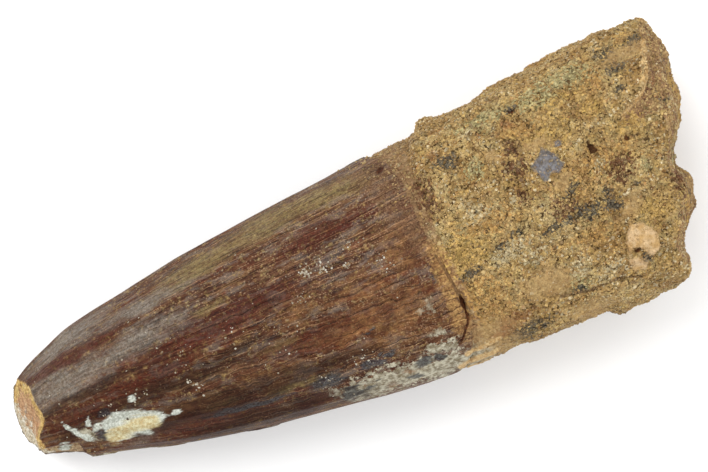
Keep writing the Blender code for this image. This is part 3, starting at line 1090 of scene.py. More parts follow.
        ordered = bmesh.new()
        made = []
        for index, vert in enumerate(sorted(ball.verts, key=spot)):
            vert.index = index
            made.append(ordered.verts.new(vert.co))
        faces = []
        for face in ball.faces:
            corners = [vert.index for vert in face.verts]
            start = corners.index(min(corners))
            faces.append(corners[start:] + corners[:start])
        for corners in sorted(faces):
            ordered.faces.new([made[index] for index in corners])
        return ordered

    def fine_relief(self, points: SkinPoints, stains: Mapping[Stain, Array]) -> Array:
        """Works out the relief that is finer than the solid's.

        Args:
            points: What is known of the vertices.
            stains: How far each vertex is inside each stain.

        Returns:
            How far each vertex moves along its normal, in millimetres.
        """
        place = points.place
        enamel = 1.0 - smooth_step(-0.05, 0.12, points.past_edge)
        enamel = enamel * (1.0 - points.lost) * ~points.on_tip
        crust = points.cover * ~points.on_end
        bone = (1.0 - enamel) * (1.0 - crust) * ~points.on_end * ~points.on_tip
        smooth = self.deepest(stains, SMOOTH_STAINS)
        rough = crust * (1.0 - self.smooth_stain_loss * smooth_step(-0.1, 0.3, smooth))
        grain_place = points.along_streaks(self.bone_grain_stretch)
        bone_grain = lumps(grain_place, self.bone_grain_size, (1.0, 7.0, 3.0))
        relief = enamel * self.enamel_relief(points) + self.crack_relief(points)
        relief = relief + rough * self.crust_relief(place) + bone * self.bone_grain_height * bone_grain
        relief = relief + self.break_relief(points)
        lost_lumps = lumps(place, self.lost_lump_size, (2.0, 2.0, 2.0))
        relief = relief + points.lost * self.lost_lump_height * lost_lumps
        return relief + self.stain_relief(place, stains)

    def deepest(self, stains: Mapping[Stain, Array], kinds: Sequence[Stain]) -> Array:
        """How far each vertex is inside any of some stains."""
        return np.maximum.reduce([stains[kind] for kind in kinds])

    def enamel_relief(self, points: SkinPoints) -> Array:
        """Works out the enamel's fine ridges and waves, and its thickness towards its edge.

        Args:
            points: What is known of the vertices.

        Returns:
            Its height at each vertex.
        """
        ridges = np.abs(lumps(points.along_streaks(self.enamel_ridge_stretch), self.enamel_ridge_spacing))
        wave_place = points.along_streaks(self.enamel_wave_stretch)
        waves = lumps(wave_place, self.enamel_wave_size, (5.0, 0.0, 2.0))
        thicker = smooth_step(self.enamel_thicker_from, self.enamel_thicker_to, points.place[:, 0])
        relief = self.enamel_ridge_height * (1.0 - 2.0 * ridges) + self.enamel_wave_height * waves
        return relief + self.enamel_thickness * thicker

    def crack_relief(self, points: SkinPoints) -> Array:
        """Works out the filling of the crack, and the step down beyond the crest at the front corner.

        Args:
            points: What is known of the vertices.

        Returns:
            Its height at each vertex.
        """
        crack, y = self.form.crack, points.place[:, 1]
        closed = self.crack_fill * smooth_step(self.closed_from_y, self.closed_to_y, y)
        gape = self.gape_fill * hump(y, crack.gape_y, crack.gape_half_length)
        fill = points.upper * (closed + gape) * hump(points.past_edge, crack.offset, crack.half_width)
        return fill - self.crest_drop * smooth_step(0.0, self.crest_slope_width, points.beyond_crest)

    def break_relief(self, points: SkinPoints) -> Array:
        """Works out the roughness of both breaks, which is less at the tip.

        Args:
            points: What is known of the vertices.

        Returns:
            Its height at each vertex.
        """
        rough = lumps(points.place, self.break_lump_size, (4.0, 1.0, 6.0))
        rough = rough + self.break_stone_share * cobbles(points.place, self.break_stone_size)
        height = self.tip_lump_height * points.on_tip + self.break_lump_height * points.on_end
        return height * rough

    def crust_relief(self, place: Array) -> Array:
        """Works out the cemented sand's own relief.

        Args:
            place: The vertices, in millimetres.

        Returns:
            Its height at each vertex.
        """
        stones = cobbles(place, self.cobble_size, (0.3, 0.7, 0.1)) - 0.5
        gravel = lumps(place, self.gravel_size, (8.0, 3.0, 5.0))
        holes = smooth_step(0.62, 0.9, cobbles(place, self.pit_size, (3.0, 9.0, 4.0)))
        chosen = smooth_step(0.0, 0.25, lumps(place, self.pit_group_size, (6.0, 1.0, 9.0)))
        return self.cobble_height * stones + self.gravel_height * gravel - self.pit_depth * holes * chosen

    def stain_relief(self, place: Array, stains: Mapping[Stain, Array]) -> Array:
        """Works out the relief of deposits, plates, ridges and cracks.

        Args:
            place: The vertices, in millimetres.
            stains: How far each vertex is inside each stain.

        Returns:
            Its height at each vertex.
        """
        ragged = self.stain_edge_height * lumps(place, self.stain_edge_size, (7.0, 7.0, 1.0))
        relief = np.zeros(len(place))
        for stain, height in STAIN_HEIGHTS.items():
            uneven = 0.0 if stain is Stain.PEACH else ragged
            relief = relief + height * smooth_step(-0.12, 0.18, stains[stain] + uneven)
        return relief

    def grain_density(self, points: SkinPoints, stains: Mapping[Stain, Array]) -> Array:
        """Finds how thickly loose-looking sand grains stand on each vertex.

        Args:
            points: What is known of the vertices.
            stains: How far each vertex is inside each stain.

        Returns:
            0 for none, up to 1.
        """
        y, z = points.place[:, 1], points.place[:, 2]
        from_edge = points.past_edge + 0.5 * lumps(points.place, 1.2)
        near_edge = self.sand_by_edge * smooth_step(0.0, 0.8, from_edge) * smooth_step(-3.0, 0.0, y)
        crust = np.maximum(smooth_step(0.02, 0.3, points.cover), near_edge * points.upper)
        crust = crust * (1.0 - self.bare_share * smooth_step(-0.1, 0.2, self.deepest(stains, SMOOTH_STAINS)))
        side = np.maximum(crust, self.rear_sand_density * points.rear_sand)
        density = np.where(points.on_end, self.sand_on_end, side)
        line = self.deepest(stains, BARE_LINES)
        density = density * (1.0 - self.bare_share * smooth_step(-0.2, 0.2, line))
        stray = self.stray_sand * smooth_step(-4.0, 0.5, points.past_edge) * smooth_step(2.0, 8.0, y)
        density = np.maximum(density, stray * points.upper * ~points.on_tip)
        outside_shadow = 1.0 - smooth_step(-0.3, 0.1, stains[Stain.SHADOW])
        above_table = smooth_step(self.table_clearance, 2.0 * self.table_clearance, z)
        return density * outside_shadow * above_table

    def build(self, material: bpy.types.Material) -> bpy.types.Object:
        """Makes the skin.

        Args:
            material: What it is made of.

        Returns:
            The object, in the frame's place.
        """
        mesh, points = self.build_mesh()
        stains = {stain: points.stain(stain, 1.7 * (i + 1)) for i, stain in enumerate(Stain)}
        relief = self.fine_relief(points, stains)
        place = points.place + points.normal * relief[:, None]
        place[:, 2] = np.maximum(place[:, 2], 0.0)
        write_vectors(mesh.vertices, "co", (place - np.array(FOOTPRINT_MIDDLE)) * MM)
        for stain, values in stains.items():
            write_values(mesh, stain.value, values)
        known = {
            "past_edge": points.past_edge,
            "cover": points.cover + points.rear_sand,
            "lost": points.lost,
            "on_end": points.on_end.astype(float),
            "from_tip": points.place[:, 0],
            "tip_share": points.tip_share,
            "tip_rear": points.tip_rear,
            "beyond_crest": points.beyond_crest,
            "grain_density": self.grain_density(points, stains),
        }
        for name, values in known.items():
            write_values(mesh, name, values)
        streak = mesh.attributes.new("streak", "FLOAT_VECTOR", "POINT")
        write_vectors(streak.data, "vector", points.streak)
        mesh.update()
        mesh.shade_smooth()
        mesh.materials.append(material)
        return add_object("tooth_skin", mesh)


def read_vectors(items: Any, name: str) -> Array:
    """Reads a vector of every item of a collection.

    Args:
        items: The collection.
        name: The vector's name.

    Returns:
        One row of three numbers for each item.
    """
    values = np.empty(3 * len(items))
    items.foreach_get(name, values)
    return values.reshape(-1, 3)


def write_vectors(items: Any, name: str, values: Array) -> None:
    """Sets a vector of every item of a collection.

    Args:
        items: The collection.
        name: The vector's name.
        values: One row of three numbers for each item.
    """
    items.foreach_set(name, values.astype(np.float32).ravel())


def write_values(mesh: bpy.types.Mesh, name: str, values: Array) -> None:
    """Adds a number for each vertex of a mesh.

    Args:
        mesh: The mesh.
        name: The attribute's name.
        values: One number for each vertex.
    """
    mesh.attributes.new(name, "FLOAT", "POINT").data.foreach_set("value", values.astype(np.float32))


def add_object(name: str, data: bpy.types.ID | None) -> bpy.types.Object:
    """Makes an object and links it to the scene.

    Args:
        name: The object's name.
        data: Its mesh, light or camera.

    Returns:
        The object.
    """
    obj = bpy.data.objects.new(name, data)
    bpy.context.scene.collection.objects.link(obj)
    return obj


def linear(colour: Colour) -> tuple[float, float, float, float]:
    """Turns an sRGB colour of 0 to 255 into the linear one that shaders use."""
    shares = [c / 255.0 for c in colour]
    return (*[s / 12.92 if s <= 0.04045 else ((s + 0.055) / 1.055) ** 2.4 for s in shares], 1.0)


@dataclass(frozen=True)
class Signal:
    """A shader socket that values or vectors can be worked out with."""

    sheet: "NodeSheet"
    socket: bpy.types.NodeSocket

    def combine(self, operation: str, *others: Any, first: bool = True) -> "Signal":
        """Adds a Math or Vector Math node.

        Args:
            operation: What the node does.
            others: The other values.
            first: Whether this signal comes before the others.

        Returns:
            The node's result.
        """
        kind = "ShaderNodeMath"
        if self.socket.type != "VALUE":
            kind = "ShaderNodeVectorMath"
            others = tuple((other,) * 3 if isinstance(other, float) else other for other in others)
        values = (self, *others) if first else (*others, self)
        return self.sheet.node(kind, {"operation": operation}, dict(enumerate(values)))

    def __add__(self, other: Any) -> "Signal":
        """Sum."""
        return self.combine("ADD", other)

    def __radd__(self, other: Any) -> "Signal":
        """Sum, with this signal second."""
        return self.combine("ADD", other, first=False)

    def __sub__(self, other: Any) -> "Signal":
        """Difference."""
        return self.combine("SUBTRACT", other)

    def __rsub__(self, other: Any) -> "Signal":
        """Difference, with this signal second."""
        return self.combine("SUBTRACT", other, first=False)

    def __mul__(self, other: Any) -> "Signal":
        """Product."""
        return self.combine("MULTIPLY", other)

    def __rmul__(self, other: Any) -> "Signal":
        """Product, with this signal second."""
        return self.combine("MULTIPLY", other, first=False)

    def __gt__(self, other: Any) -> "Signal":
        """1 where this signal is greater, otherwise 0."""
        return self.combine("GREATER_THAN", other)

    def __abs__(self) -> "Signal":
        """Size without sign."""
        return self.combine("ABSOLUTE")

    def at_most(self, other: Any) -> "Signal":
        """The smaller of the two."""
        return self.combine("MINIMUM", other)

    def at_least(self, other: Any) -> "Signal":
        """The greater of the two."""
        return self.combine("MAXIMUM", other)

    def rise(self, low: float, high: float) -> "Signal":
        """0 below low, 1 above high and an even S-curve between."""
        settings = {"interpolation_type": "SMOOTHSTEP"}
        return self.sheet.node("ShaderNodeMapRange", settings, {0: self, 1: low, 2: high})

    def part(self, index: int) -> "Signal":
        """One coordinate of a vector, or one channel of a colour."""
        return self.sheet.node("ShaderNodeSeparateXYZ", {}, {0: self}, index)

    def scaled(self, factor: "Signal") -> "Signal":
        """A vector made longer or shorter."""
        return self.sheet.node("ShaderNodeVectorMath", {"operation": "SCALE"}, {0: self, "Scale": factor})

    def beside(self, output: int | str) -> "Signal":
        """Another output of the same node."""
        return Signal(self.sheet, self.socket.node.outputs[output])


class NodeSheet:
    """The nodes of one tree."""

    def __init__(self, tree: bpy.types.NodeTree) -> None:
        """Starts on a tree."""
        self.tree = tree

    def node(
        self,
        kind: str,
        settings: Mapping[str, Any],
        sockets: Mapping[int | str, Any],
        output: int | str = 0,
    ) -> Signal:
        """Adds a node.

        Args:
            kind: The node's type.
            settings: Its settings, and the stops of a ramp.
            sockets: Values or signals for its inputs.
            output: Which of its outputs is wanted.

        Returns:
            That output.
        """
        node = self.tree.nodes.new(kind)
        for name, value in settings.items():
            if name == "stops":
                self.set_stops(node.color_ramp, value)
            else:
                setattr(node, name, value)
        for key, value in sockets.items():
            if isinstance(value, Signal):
                self.tree.links.new(value.socket, node.inputs[key])
            else:
                node.inputs[key].default_value = value
        return Signal(self, node.outputs[output])

    def end(self, kind: str, result: Signal) -> None:
        """Adds the node that gives out the tree's result."""
        self.tree.links.new(result.socket, self.tree.nodes.new(kind).inputs[0])

    def set_stops(self, ramp: bpy.types.ColorRamp, stops: Sequence[tuple[float, Colour]]) -> None:
        """Gives a ramp its stops.

        Args:
            ramp: The ramp, with the two stops of a new one.
            stops: Places and colours.
        """
        for _ in stops[2:]:
            ramp.elements.new(0.5)
        for element, (place, colour) in zip(ramp.elements, stops):
            element.position = place
            element.color = linear(colour)


class MaterialSheet(NodeSheet):
    """The nodes of one material."""

    def __init__(self, name: str) -> None:
        """Makes a material with no nodes."""
        self.material = bpy.data.materials.new(name)
        self.material.use_nodes = True
        super().__init__(self.material.node_tree)
        self.tree.nodes.clear()

    def place_in_mm(self) -> Signal:
        """Object coordinates, in millimetres."""
        return self.node("ShaderNodeTexCoord", {}, {}, "Object") * PER_MM

    def value(self, name: str) -> Signal:
        """A number that each vertex carries."""
        return self.node("ShaderNodeAttribute", {"attribute_name": name}, {}, "Fac")

    def vector(self, name: str) -> Signal:
        """A vector that each vertex carries."""
        return self.node("ShaderNodeAttribute", {"attribute_name": name}, {}, "Vector")

    def cloud(self, place: Signal, size: float, detail: float = 3.0, roughness: float = 0.55) -> Signal:
        """Adds soft noise.

        Args:
            place: Where it is read.
            size: Size of its lumps, in the place's unit.
            detail: How many finer layers it has.
            roughness: How strong those are.

        Returns:
            Values round 0.5.
        """
        sockets = {"Vector": place, "Scale": 1.0 / size, "Detail": detail, "Roughness": roughness}
        return self.node("ShaderNodeTexNoise", {}, sockets, "Fac")

    def cells(self, place: Signal, size: float, output: str) -> Signal:
        """Adds a pattern of cells.

        Args:
            place: Where it is read.
            size: Size of a cell, in the place's unit.
            output: Distance from a cell's middle, or Color for its own random colour.

        Returns:
            That output.
        """
        return self.node("ShaderNodeTexVoronoi", {}, {"Vector": place, "Scale": 1.0 / size}, output)

    def ramp(self, value: Signal, stops: Sequence[tuple[float, Colour]]) -> Signal:
        """Turns a value into a colour.

        Args:
            value: What is looked at.
            stops: Places and colours.

        Returns:
            The colour.
        """
        return self.node("ShaderNodeValToRGB", {"stops": stops}, {0: value}, "Color")

    def mix(self, share: Signal | float, lower: Any, upper: Any, blend: str = "MIX") -> Signal:
        """Lays one colour over another.

        Args:
            share: How much of the upper colour shows.
            lower: A signal or a colour.
            upper: A signal or a colour.
            blend: How they mix.

        Returns:
            The mixed colour.
        """
        sides = [linear(side) if isinstance(side, tuple) else side for side in (lower, upper)]
        settings = {"data_type": "RGBA", "blend_type": blend}
        return self.node("ShaderNodeMix", settings, {0: share, 6: sides[0], 7: sides[1]}, 2)

    def finish(self, layer: "Layer", specular: float) -> bpy.types.Material:
        """Ends the material.

        Args:
            layer: Its colour, roughness and height.
            specular: How strongly it reflects.

        Returns:
            The material.
        """
        sockets = {"Height": layer.height, "Strength": 1.0, "Distance": MM}
        normal = self.node("ShaderNodeBump", {}, sockets)
        shade = layer.shade * EXPOSURE
        grey = self.node("ShaderNodeCombineXYZ", {}, {0: shade, 1: shade, 2: shade})
        colour = self.mix(1.0, layer.colour, grey, "MULTIPLY")
        shader = self.node(
            "ShaderNodeBsdfPrincipled",
            {},
            {
                "Base Color": colour,
                "Roughness": layer.roughness,
                "Normal": normal,
                "Metallic": 0.0,
                "Specular IOR Level": specular,
            },
        )
        self.end("ShaderNodeOutputMaterial", shader)
        return self.material


@dataclass(frozen=True)
class Layer:
    """One finish: its broad colour, the fine light and dark in it, its roughness and height in mm."""

    colour: Signal
    shade: Signal
    roughness: Signal
    height: Signal

    def under(self, upper: "Layer", share: Signal) -> "Layer":
        """Lays another layer over this one.

        Args:
            upper: The other layer.
            share: How much of it shows.

        Returns:
            What shows.
        """
        return Layer(
            colour=share.sheet.mix(share, self.colour, upper.colour),
            shade=self.shade + (upper.shade - self.shade) * share,
            roughness=self.roughness + (upper.roughness - self.roughness) * share,
            height=self.height + (upper.height - self.height) * share,
        )


@dataclass(frozen=True)
class Places:
    """Coordinates that finishes read, in millimetres, and three random numbers for each sand grain."""

    sheet: MaterialSheet
    place: Signal
    streak: Signal
    chance: Signal

    def stretched(self, along: float) -> Signal:
        """Streak coordinates, in which patterns are that many times longer along the tooth."""
        return self.streak * (1.0, 1.0, 1.0 / along)


@dataclass(frozen=True)
class FineLines:
    """Fine lines along the crown: how many go round it, how wide they are and how they drift."""

    count: int
    width: float
    drift: float
    shift: float
    broken_from: float = 0.42
    broken_to: float = 0.58
    drift_stretch: float = 5.0
    drift_size: float = 2.2
    gap_stretch: float = 7.0
    gap_size: float = 0.8

    def pattern(self, at: Places) -> Signal:
        """Draws the lines.

        Args:
            at: Where they are read.

        Returns:
            1 on a line and 0 between them.
        """
        sheet = at.sheet
        angle = at.streak.part(1).combine("ARCTAN2", at.streak.part(0))
        drift = sheet.cloud(at.stretched(self.drift_stretch) + self.shift, self.drift_size, 4.0, 0.6) - 0.5
        broken = sheet.cloud(at.stretched(self.gap_stretch) + 2.0 * self.shift, self.gap_size, 2.0)
        wave = abs((angle * (0.5 * self.count) + drift * self.drift).combine("SINE"))
        return (1.0 - wave.rise(0.0, self.width)) * broken.rise(self.broken_from, self.broken_to)


@dataclass(frozen=True)
class Tint:
    """Patches of another colour that run with the streaks."""

    colour: Colour
    size: float
    stretch: float
    rarity: float
    strength: float
    shift: float
    softness: float = 0.12

    def over(self, at: Places, colour: Signal) -> Signal:
        """Lays the patches over a colour."""
        pattern = at.sheet.cloud(at.stretched(self.stretch) + self.shift, self.size, 5.0, 0.68)
        share = pattern.rise(self.rarity, self.rarity + self.softness) * self.strength
        return at.sheet.mix(share, colour, self.colour)


@dataclass(frozen=True)
class EnamelFinish:
    """Dark, satin fossil enamel with tinted streaks, fine lines along the crown and small pale specks."""

    stops: tuple[tuple[float, Colour], ...] = (
        (0.33, (46, 20, 9)),
        (0.43, (72, 38, 22)),
        (0.51, (94, 58, 38)),
        (0.59, (118, 84, 58)),
        (0.70, (146, 115, 84)),
    )
    tints: tuple[Tint, ...] = (
        Tint((108, 48, 30), 1.7, 4.0, 0.5, 0.45, 11.0),
        Tint((132, 118, 106), 1.0, 3.0, 0.49, 0.6, 23.0),
        Tint((152, 116, 74), 1.4, 3.5, 0.56, 0.4, 37.0),
        Tint((52, 46, 48), 0.9, 4.5, 0.55, 0.6, 53.0),
    )
    lines: FineLines = FineLines(84, 0.24, 6.5, 3.0)
    thin_lines: FineLines = FineLines(150, 0.34, 8.0, 7.0)
    dark_lines: FineLines = FineLines(96, 0.34, 7.0, 13.0)
    line_colour: Colour = (186, 148, 110)
    lines_from: float = 4.0
    lines_to: float = 26.0
    speck_colour: Colour = (176, 146, 116)
    speck_size: float = 0.21
    specks_from: float = 10.0
    specks_to: float = 46.0
    speck_group_size: float = 1.8
    broad_stretch: float = 14.0
    broad_size: float = 1.7
    fine_stretch: float = 9.0
    fine_size: float = 0.3
    blotch_size: float = 1.2
    micro_size: float = 0.16

    def specks(self, at: Places) -> Signal:
        """Small pale specks, closer together towards the root: 1 on a speck and 0 beside it."""
        sheet = at.sheet
        away = sheet.cells(at.place, self.speck_size, "Distance")
        luck = away.beside("Color").part(1)
        rooted = sheet.value("from_tip").rise(self.specks_from, self.specks_to)
        often = rooted * 0.5 + sheet.cloud(at.place, self.speck_group_size) * 0.5 - 0.16
        return (1.0 - away.rise(0.15, 0.5)) * (often > luck)

    def layer(self, at: Places) -> Layer:
        """Builds the finish.

        Args:
            at: Where it is read.

        Returns:
            Its layer.
        """
        sheet = at.sheet
        broad = sheet.cloud(at.stretched(self.broad_stretch), self.broad_size, 4.0, 0.6)
        fine = sheet.cloud(at.stretched(self.fine_stretch), self.fine_size, 4.0, 0.7)
        blotch = sheet.cloud(at.place, self.blotch_size, 4.0, 0.65)
        micro = sheet.cloud(at.place, self.micro_size, 2.0, 0.7)
        colour = sheet.ramp(broad * 0.5 + fine * 0.25 + blotch * 0.25, self.stops)
        for tint in self.tints:
            colour = tint.over(at, colour)
        rooted = sheet.value("from_tip").rise(self.lines_from, self.lines_to)
        line = self.lines.pattern(at) * rooted
        thin_line = self.thin_lines.pattern(at) * rooted
        dark_line = self.dark_lines.pattern(at) * rooted
        speck = self.specks(at)
        colour = sheet.mix((line + thin_line * 0.6).at_most(1.0) * 0.5, colour, self.line_colour)
        colour = sheet.mix(speck * 0.55, colour, self.speck_colour)
        shade = 0.42 + fine.rise(0.3, 0.7) * 0.56 + micro.rise(0.3, 0.7) * 0.44
        shade = shade + line * 0.55 + thin_line * 0.35 + speck * 0.3
        shade = shade * (1.0 - dark_line * 0.6)
        height = fine * 0.05 + line * 0.03 + thin_line * 0.02 + micro * 0.015
        height = height + speck * 0.02 - dark_line * 0.05
        return Layer(colour, shade, 0.38 + 0.25 * blotch + 0.15 * line, height)


@dataclass(frozen=True)
class CrustFinish:
    """Cemented sand: ochre ground with grains of many tints, with painted shade in its pits and between its
    grains.
    """

    stops: tuple[tuple[float, Colour], ...] = (
        (0.30, (134, 98, 54)),
        (0.42, (170, 134, 80)),
        (0.52, (194, 161, 104)),
        (0.62, (206, 180, 126)),
        (0.74, (228, 208, 162)),
    )
    rust_colour: Colour = (160, 112, 70)
    dark_colour: Colour = (84, 60, 38)
    cream_colour: Colour = (240, 226, 190)
    # Brown of the pits, which paints their shade as well as a brown tint
    pit_shade_colour: Colour = (104, 70, 38)
    green_colour: Colour = (184, 168, 118)
    golden_colour: Colour = (222, 186, 112)
    grain_size: float = 0.26
    fine_grain_size: float = 0.13
    broad_size: float = 3.6
    quick_size: float = 0.8
    green_size: float = 1.6
    golden_size: float = 1.3
    pit_size: float = 0.42
    clump_size: float = 1.1
    rust_above: float = 0.93
    dark_above: float = 0.91
    cream_above: float = 0.93

    def colour(self, at: Places) -> Signal:
        """Colour of the sand, with a few grains of other tints."""
        sheet = at.sheet
        broad = sheet.cloud(at.place, self.broad_size, 3.0)
        quick = sheet.cloud(at.place, self.quick_size, 3.0, 0.65)
        colour = sheet.ramp(broad * 0.45 + quick * 0.55, self.stops)
        green = sheet.cloud(at.place + 31.0, self.green_size, 4.0, 0.65).rise(0.5, 0.62)
        golden = sheet.cloud(at.place + 47.0, self.golden_size, 4.0, 0.65).rise(0.52, 0.64)
        colour = sheet.mix(green * 0.4, colour, self.green_colour)
        colour = sheet.mix(golden * 0.45, colour, self.golden_colour)
        kind, warmth = at.chance.part(1), at.chance.part(2)
        colour = sheet.mix((warmth > self.rust_above) * 0.6, colour, self.rust_colour)
        colour = sheet.mix((kind > self.dark_above) * 0.75, colour, self.dark_colour)
        return sheet.mix(((1.0 - kind) > self.cream_above) * 0.6, colour, self.cream_colour)

    def layer(self, at: Places) -> Layer:
        """Builds the finish.

        Args:
            at: Where it is read.

        Returns:
            Its layer.
        """
        sheet = at.sheet
        away = sheet.cells(at.place, self.grain_size, "Distance")
        fine_away = sheet.cells(at.place, self.fine_grain_size, "Distance")
        fine_chance = fine_away.beside("Color").part(0)
        # Pits lie lower and get painted shade: darkened and tinted brown
        pits = sheet.cloud(at.place, self.pit_size, 4.0, 0.7).rise(0.56, 0.66)
        colour = sheet.mix(pits * 0.7, self.colour(at), self.pit_shade_colour)
        clump = sheet.cloud(at.place, self.clump_size, 2.0).rise(0.36, 0.64)
        shade = (0.62 + 0.62 * at.chance.part(0)) * (0.78 + 0.46 * fine_chance) * (0.88 + 0.34 * clump)
        # Painted shade: darker in the gaps between grains and in the pits
        shade = shade * (1.0 - 0.25 * away.rise(0.4, 0.75)) * (1.0 - 0.35 * pits)
        height = 0.1 * (1.0 - away) + 0.04 * (1.0 - fine_away) - 0.12 * pits
        return Layer(colour, shade, sheet.cloud(at.place, 1.0) * 0.2 + 0.78, height)


@dataclass(frozen=True)
class GrainyFinish:
    """Bone, dentine or a break: a ramp of colours over noise that may run along the tooth."""

    stops: tuple[tuple[float, Colour], ...]
    size: float = 0.5
    stretch: float = 1.0
    roughness: float = 0.75
    relief: float = 0.2
    fine_size: float = 0.22

    def layer(self, at: Places) -> Layer:
        """Builds the finish.

        Args:
            at: Where it is read.

        Returns:
            Its layer.
        """
        sheet = at.sheet
        place = at.place if self.stretch == 1.0 else at.stretched(self.stretch)
        pattern = sheet.cloud(place, self.size, 4.0, 0.62)
        fine = sheet.cloud(at.place, self.fine_size, 3.0, 0.6)
        colour = sheet.ramp(pattern * 0.7 + fine * 0.3, self.stops)
        height = pattern * self.relief + fine * 0.06
        shade = (0.7 + 0.6 * fine.rise(0.3, 0.7)) * (0.85 + 0.3 * at.chance.part(0))
        return Layer(colour, shade, self.roughness + 0.1 * fine, height)


BONE = GrainyFinish(
    ((0.32, (120, 84, 56)), (0.45, (152, 116, 80)), (0.55, (172, 142, 102)), (0.7, (196, 172, 132))),
    stretch=8.0,
    roughness=0.7,
    relief=0.1,
)
TIP_DENTINE = GrainyFinish(
    ((0.3, (150, 106, 74)), (0.45, (188, 144, 106)), (0.6, (208, 168, 126)), (0.75, (230, 206, 166))),
    size=0.9,
    relief=0.12,
)
TIP_RIM = GrainyFinish(
    ((0.3, (156, 118, 62)), (0.45, (202, 164, 98)), (0.6, (224, 192, 126)), (0.75, (240, 220, 170))),
    roughness=0.8,
)
TIP_CHALK = GrainyFinish(
    ((0.3, (160, 132, 98)), (0.45, (206, 188, 156)), (0.6, (236, 228, 208)), (0.75, (252, 250, 242))),
    roughness=0.85,
)
LOST_DENTINE = GrainyFinish(
    ((0.3, (122, 84, 56)), (0.45, (168, 132, 98)), (0.6, (206, 186, 150)), (0.75, (236, 228, 208))),
    relief=0.1,
)
END_BREAK = GrainyFinish(
    (
        (0.3, (88, 58, 44)),
        (0.42, (130, 96, 72)),
        (0.52, (164, 130, 92)),
        (0.62, (188, 156, 108)),
        (0.75, (216, 190, 140)),
    ),
    size=0.9,
    roughness=0.85,
)


class Edge(Enum):
    """What makes a stain's edge ragged."""

    CLOUD = "cloud"
    STREAK = "streak"
    GRAIN = "grain"


@dataclass(frozen=True)
class StainFinish:
    """Look of a stain: two colours that it varies between, its edge and how strongly it covers.

    A stain with a grain edge tints single grains, and its strength is the share of them that it tints.
    A deposit also hides the fine light, dark and height of what it lies on.
    """

    colour: Colour
    other: Colour
    edge: Edge
    strength: float = 1.0
    ragged: float = 1.2
    soft: float = 0.2
    mottle_size: float = 0.3
    deposit: bool = False


STAIN_FINISHES: dict[Stain, StainFinish] = {
    # Grey sheen is a painted sheen: lighter grey laid into the colour
    Stain.GREY_SHEEN: StainFinish((160, 152, 140), (124, 112, 98), Edge.STREAK, 0.72, 2.0, 0.9, 0.3),
    Stain.OLIVE: StainFinish((158, 138, 88), (118, 94, 62), Edge.STREAK, 0.75, 2.0, 0.6, 0.4),
    Stain.LIME: StainFinish((218, 212, 188), (134, 122, 96), Edge.CLOUD, 0.9, 3.8, 0.2, 0.55, True),
    # Maroon stain, which also paints the shade on one flute's shaded side
    Stain.MAROON: StainFinish((92, 34, 20), (66, 28, 18), Edge.STREAK, 0.65, 2.2, 0.5),
    Stain.RUST: StainFinish((160, 114, 70), (106, 66, 42), Edge.STREAK, 0.55, 2.2, 0.6, 0.9),
    Stain.SLATE: StainFinish((94, 98, 100), (34, 34, 38), Edge.STREAK, 0.8, 3.2, 0.3, 0.2),
    # Painted shade on the crown's lower side and a flute's shaded side, and dark spots
    Stain.DARK: StainFinish((34, 18, 12), (50, 28, 18), Edge.STREAK, 0.7, 2.2, 0.6),
    Stain.TAN: StainFinish((200, 158, 98), (138, 96, 58), Edge.CLOUD, 0.75, 3.2, 0.5, 0.3),
    Stain.UMBER: StainFinish((150, 116, 84), (96, 66, 46), Edge.CLOUD, 0.5, 2.8, 0.6, 0.2),
    Stain.WHITE: StainFinish((240, 244, 232), (188, 192, 178), Edge.STREAK, 0.93, 3.0, 0.3, 0.25, True),
    Stain.CHIP_CREAM: StainFinish((240, 230, 182), (204, 174, 110), Edge.STREAK, 0.85, 2.6, 0.4, 0.45, True),
    Stain.YELLOW: StainFinish((212, 176, 104), (188, 152, 88), Edge.GRAIN, 0.75),
    Stain.OCHRE: StainFinish((204, 162, 96), (176, 134, 80), Edge.GRAIN, 0.65),
    Stain.GREY_GREEN: StainFinish((206, 194, 142), (170, 156, 106), Edge.GRAIN, 0.8),
    Stain.BROWN_GRAINS: StainFinish((122, 84, 58), (90, 56, 38), Edge.GRAIN, 0.7),
    Stain.BLACK_GRAINS: StainFinish((50, 48, 46), (112, 106, 92), Edge.GRAIN, 0.8),
    Stain.PALE_GRAINS: StainFinish((226, 210, 170), (192, 172, 128), Edge.GRAIN, 0.6),
    Stain.CLAY: StainFinish((206, 174, 122), (168, 134, 88), Edge.CLOUD, 0.75, 2.4, 0.5, 0.4, True),
    Stain.PEACH: StainFinish((240, 206, 160), (208, 168, 112), Edge.CLOUD, 0.88, 1.8, 0.3, 1.1, True),
    Stain.RED: StainFinish((164, 106, 68), (136, 88, 56), Edge.CLOUD, 0.6, 2.2, 0.7),
    Stain.BLUE_STONE: StainFinish((132, 136, 146), (94, 94, 98), Edge.CLOUD, 0.85, 2.6, 0.3, 0.5, True),
    Stain.CREAM_RIDGE: StainFinish((238, 206, 150), (196, 154, 98), Edge.CLOUD, 0.9, 1.8, 0.5),
    Stain.FAINT_LINE: StainFinish((92, 64, 42), (128, 100, 72), Edge.CLOUD, 0.7, 1.8, 0.4),
    Stain.SHADOW: StainFinish((94, 46, 24), (52, 26, 14), Edge.CLOUD, 0.9, 1.2, 0.25),
}


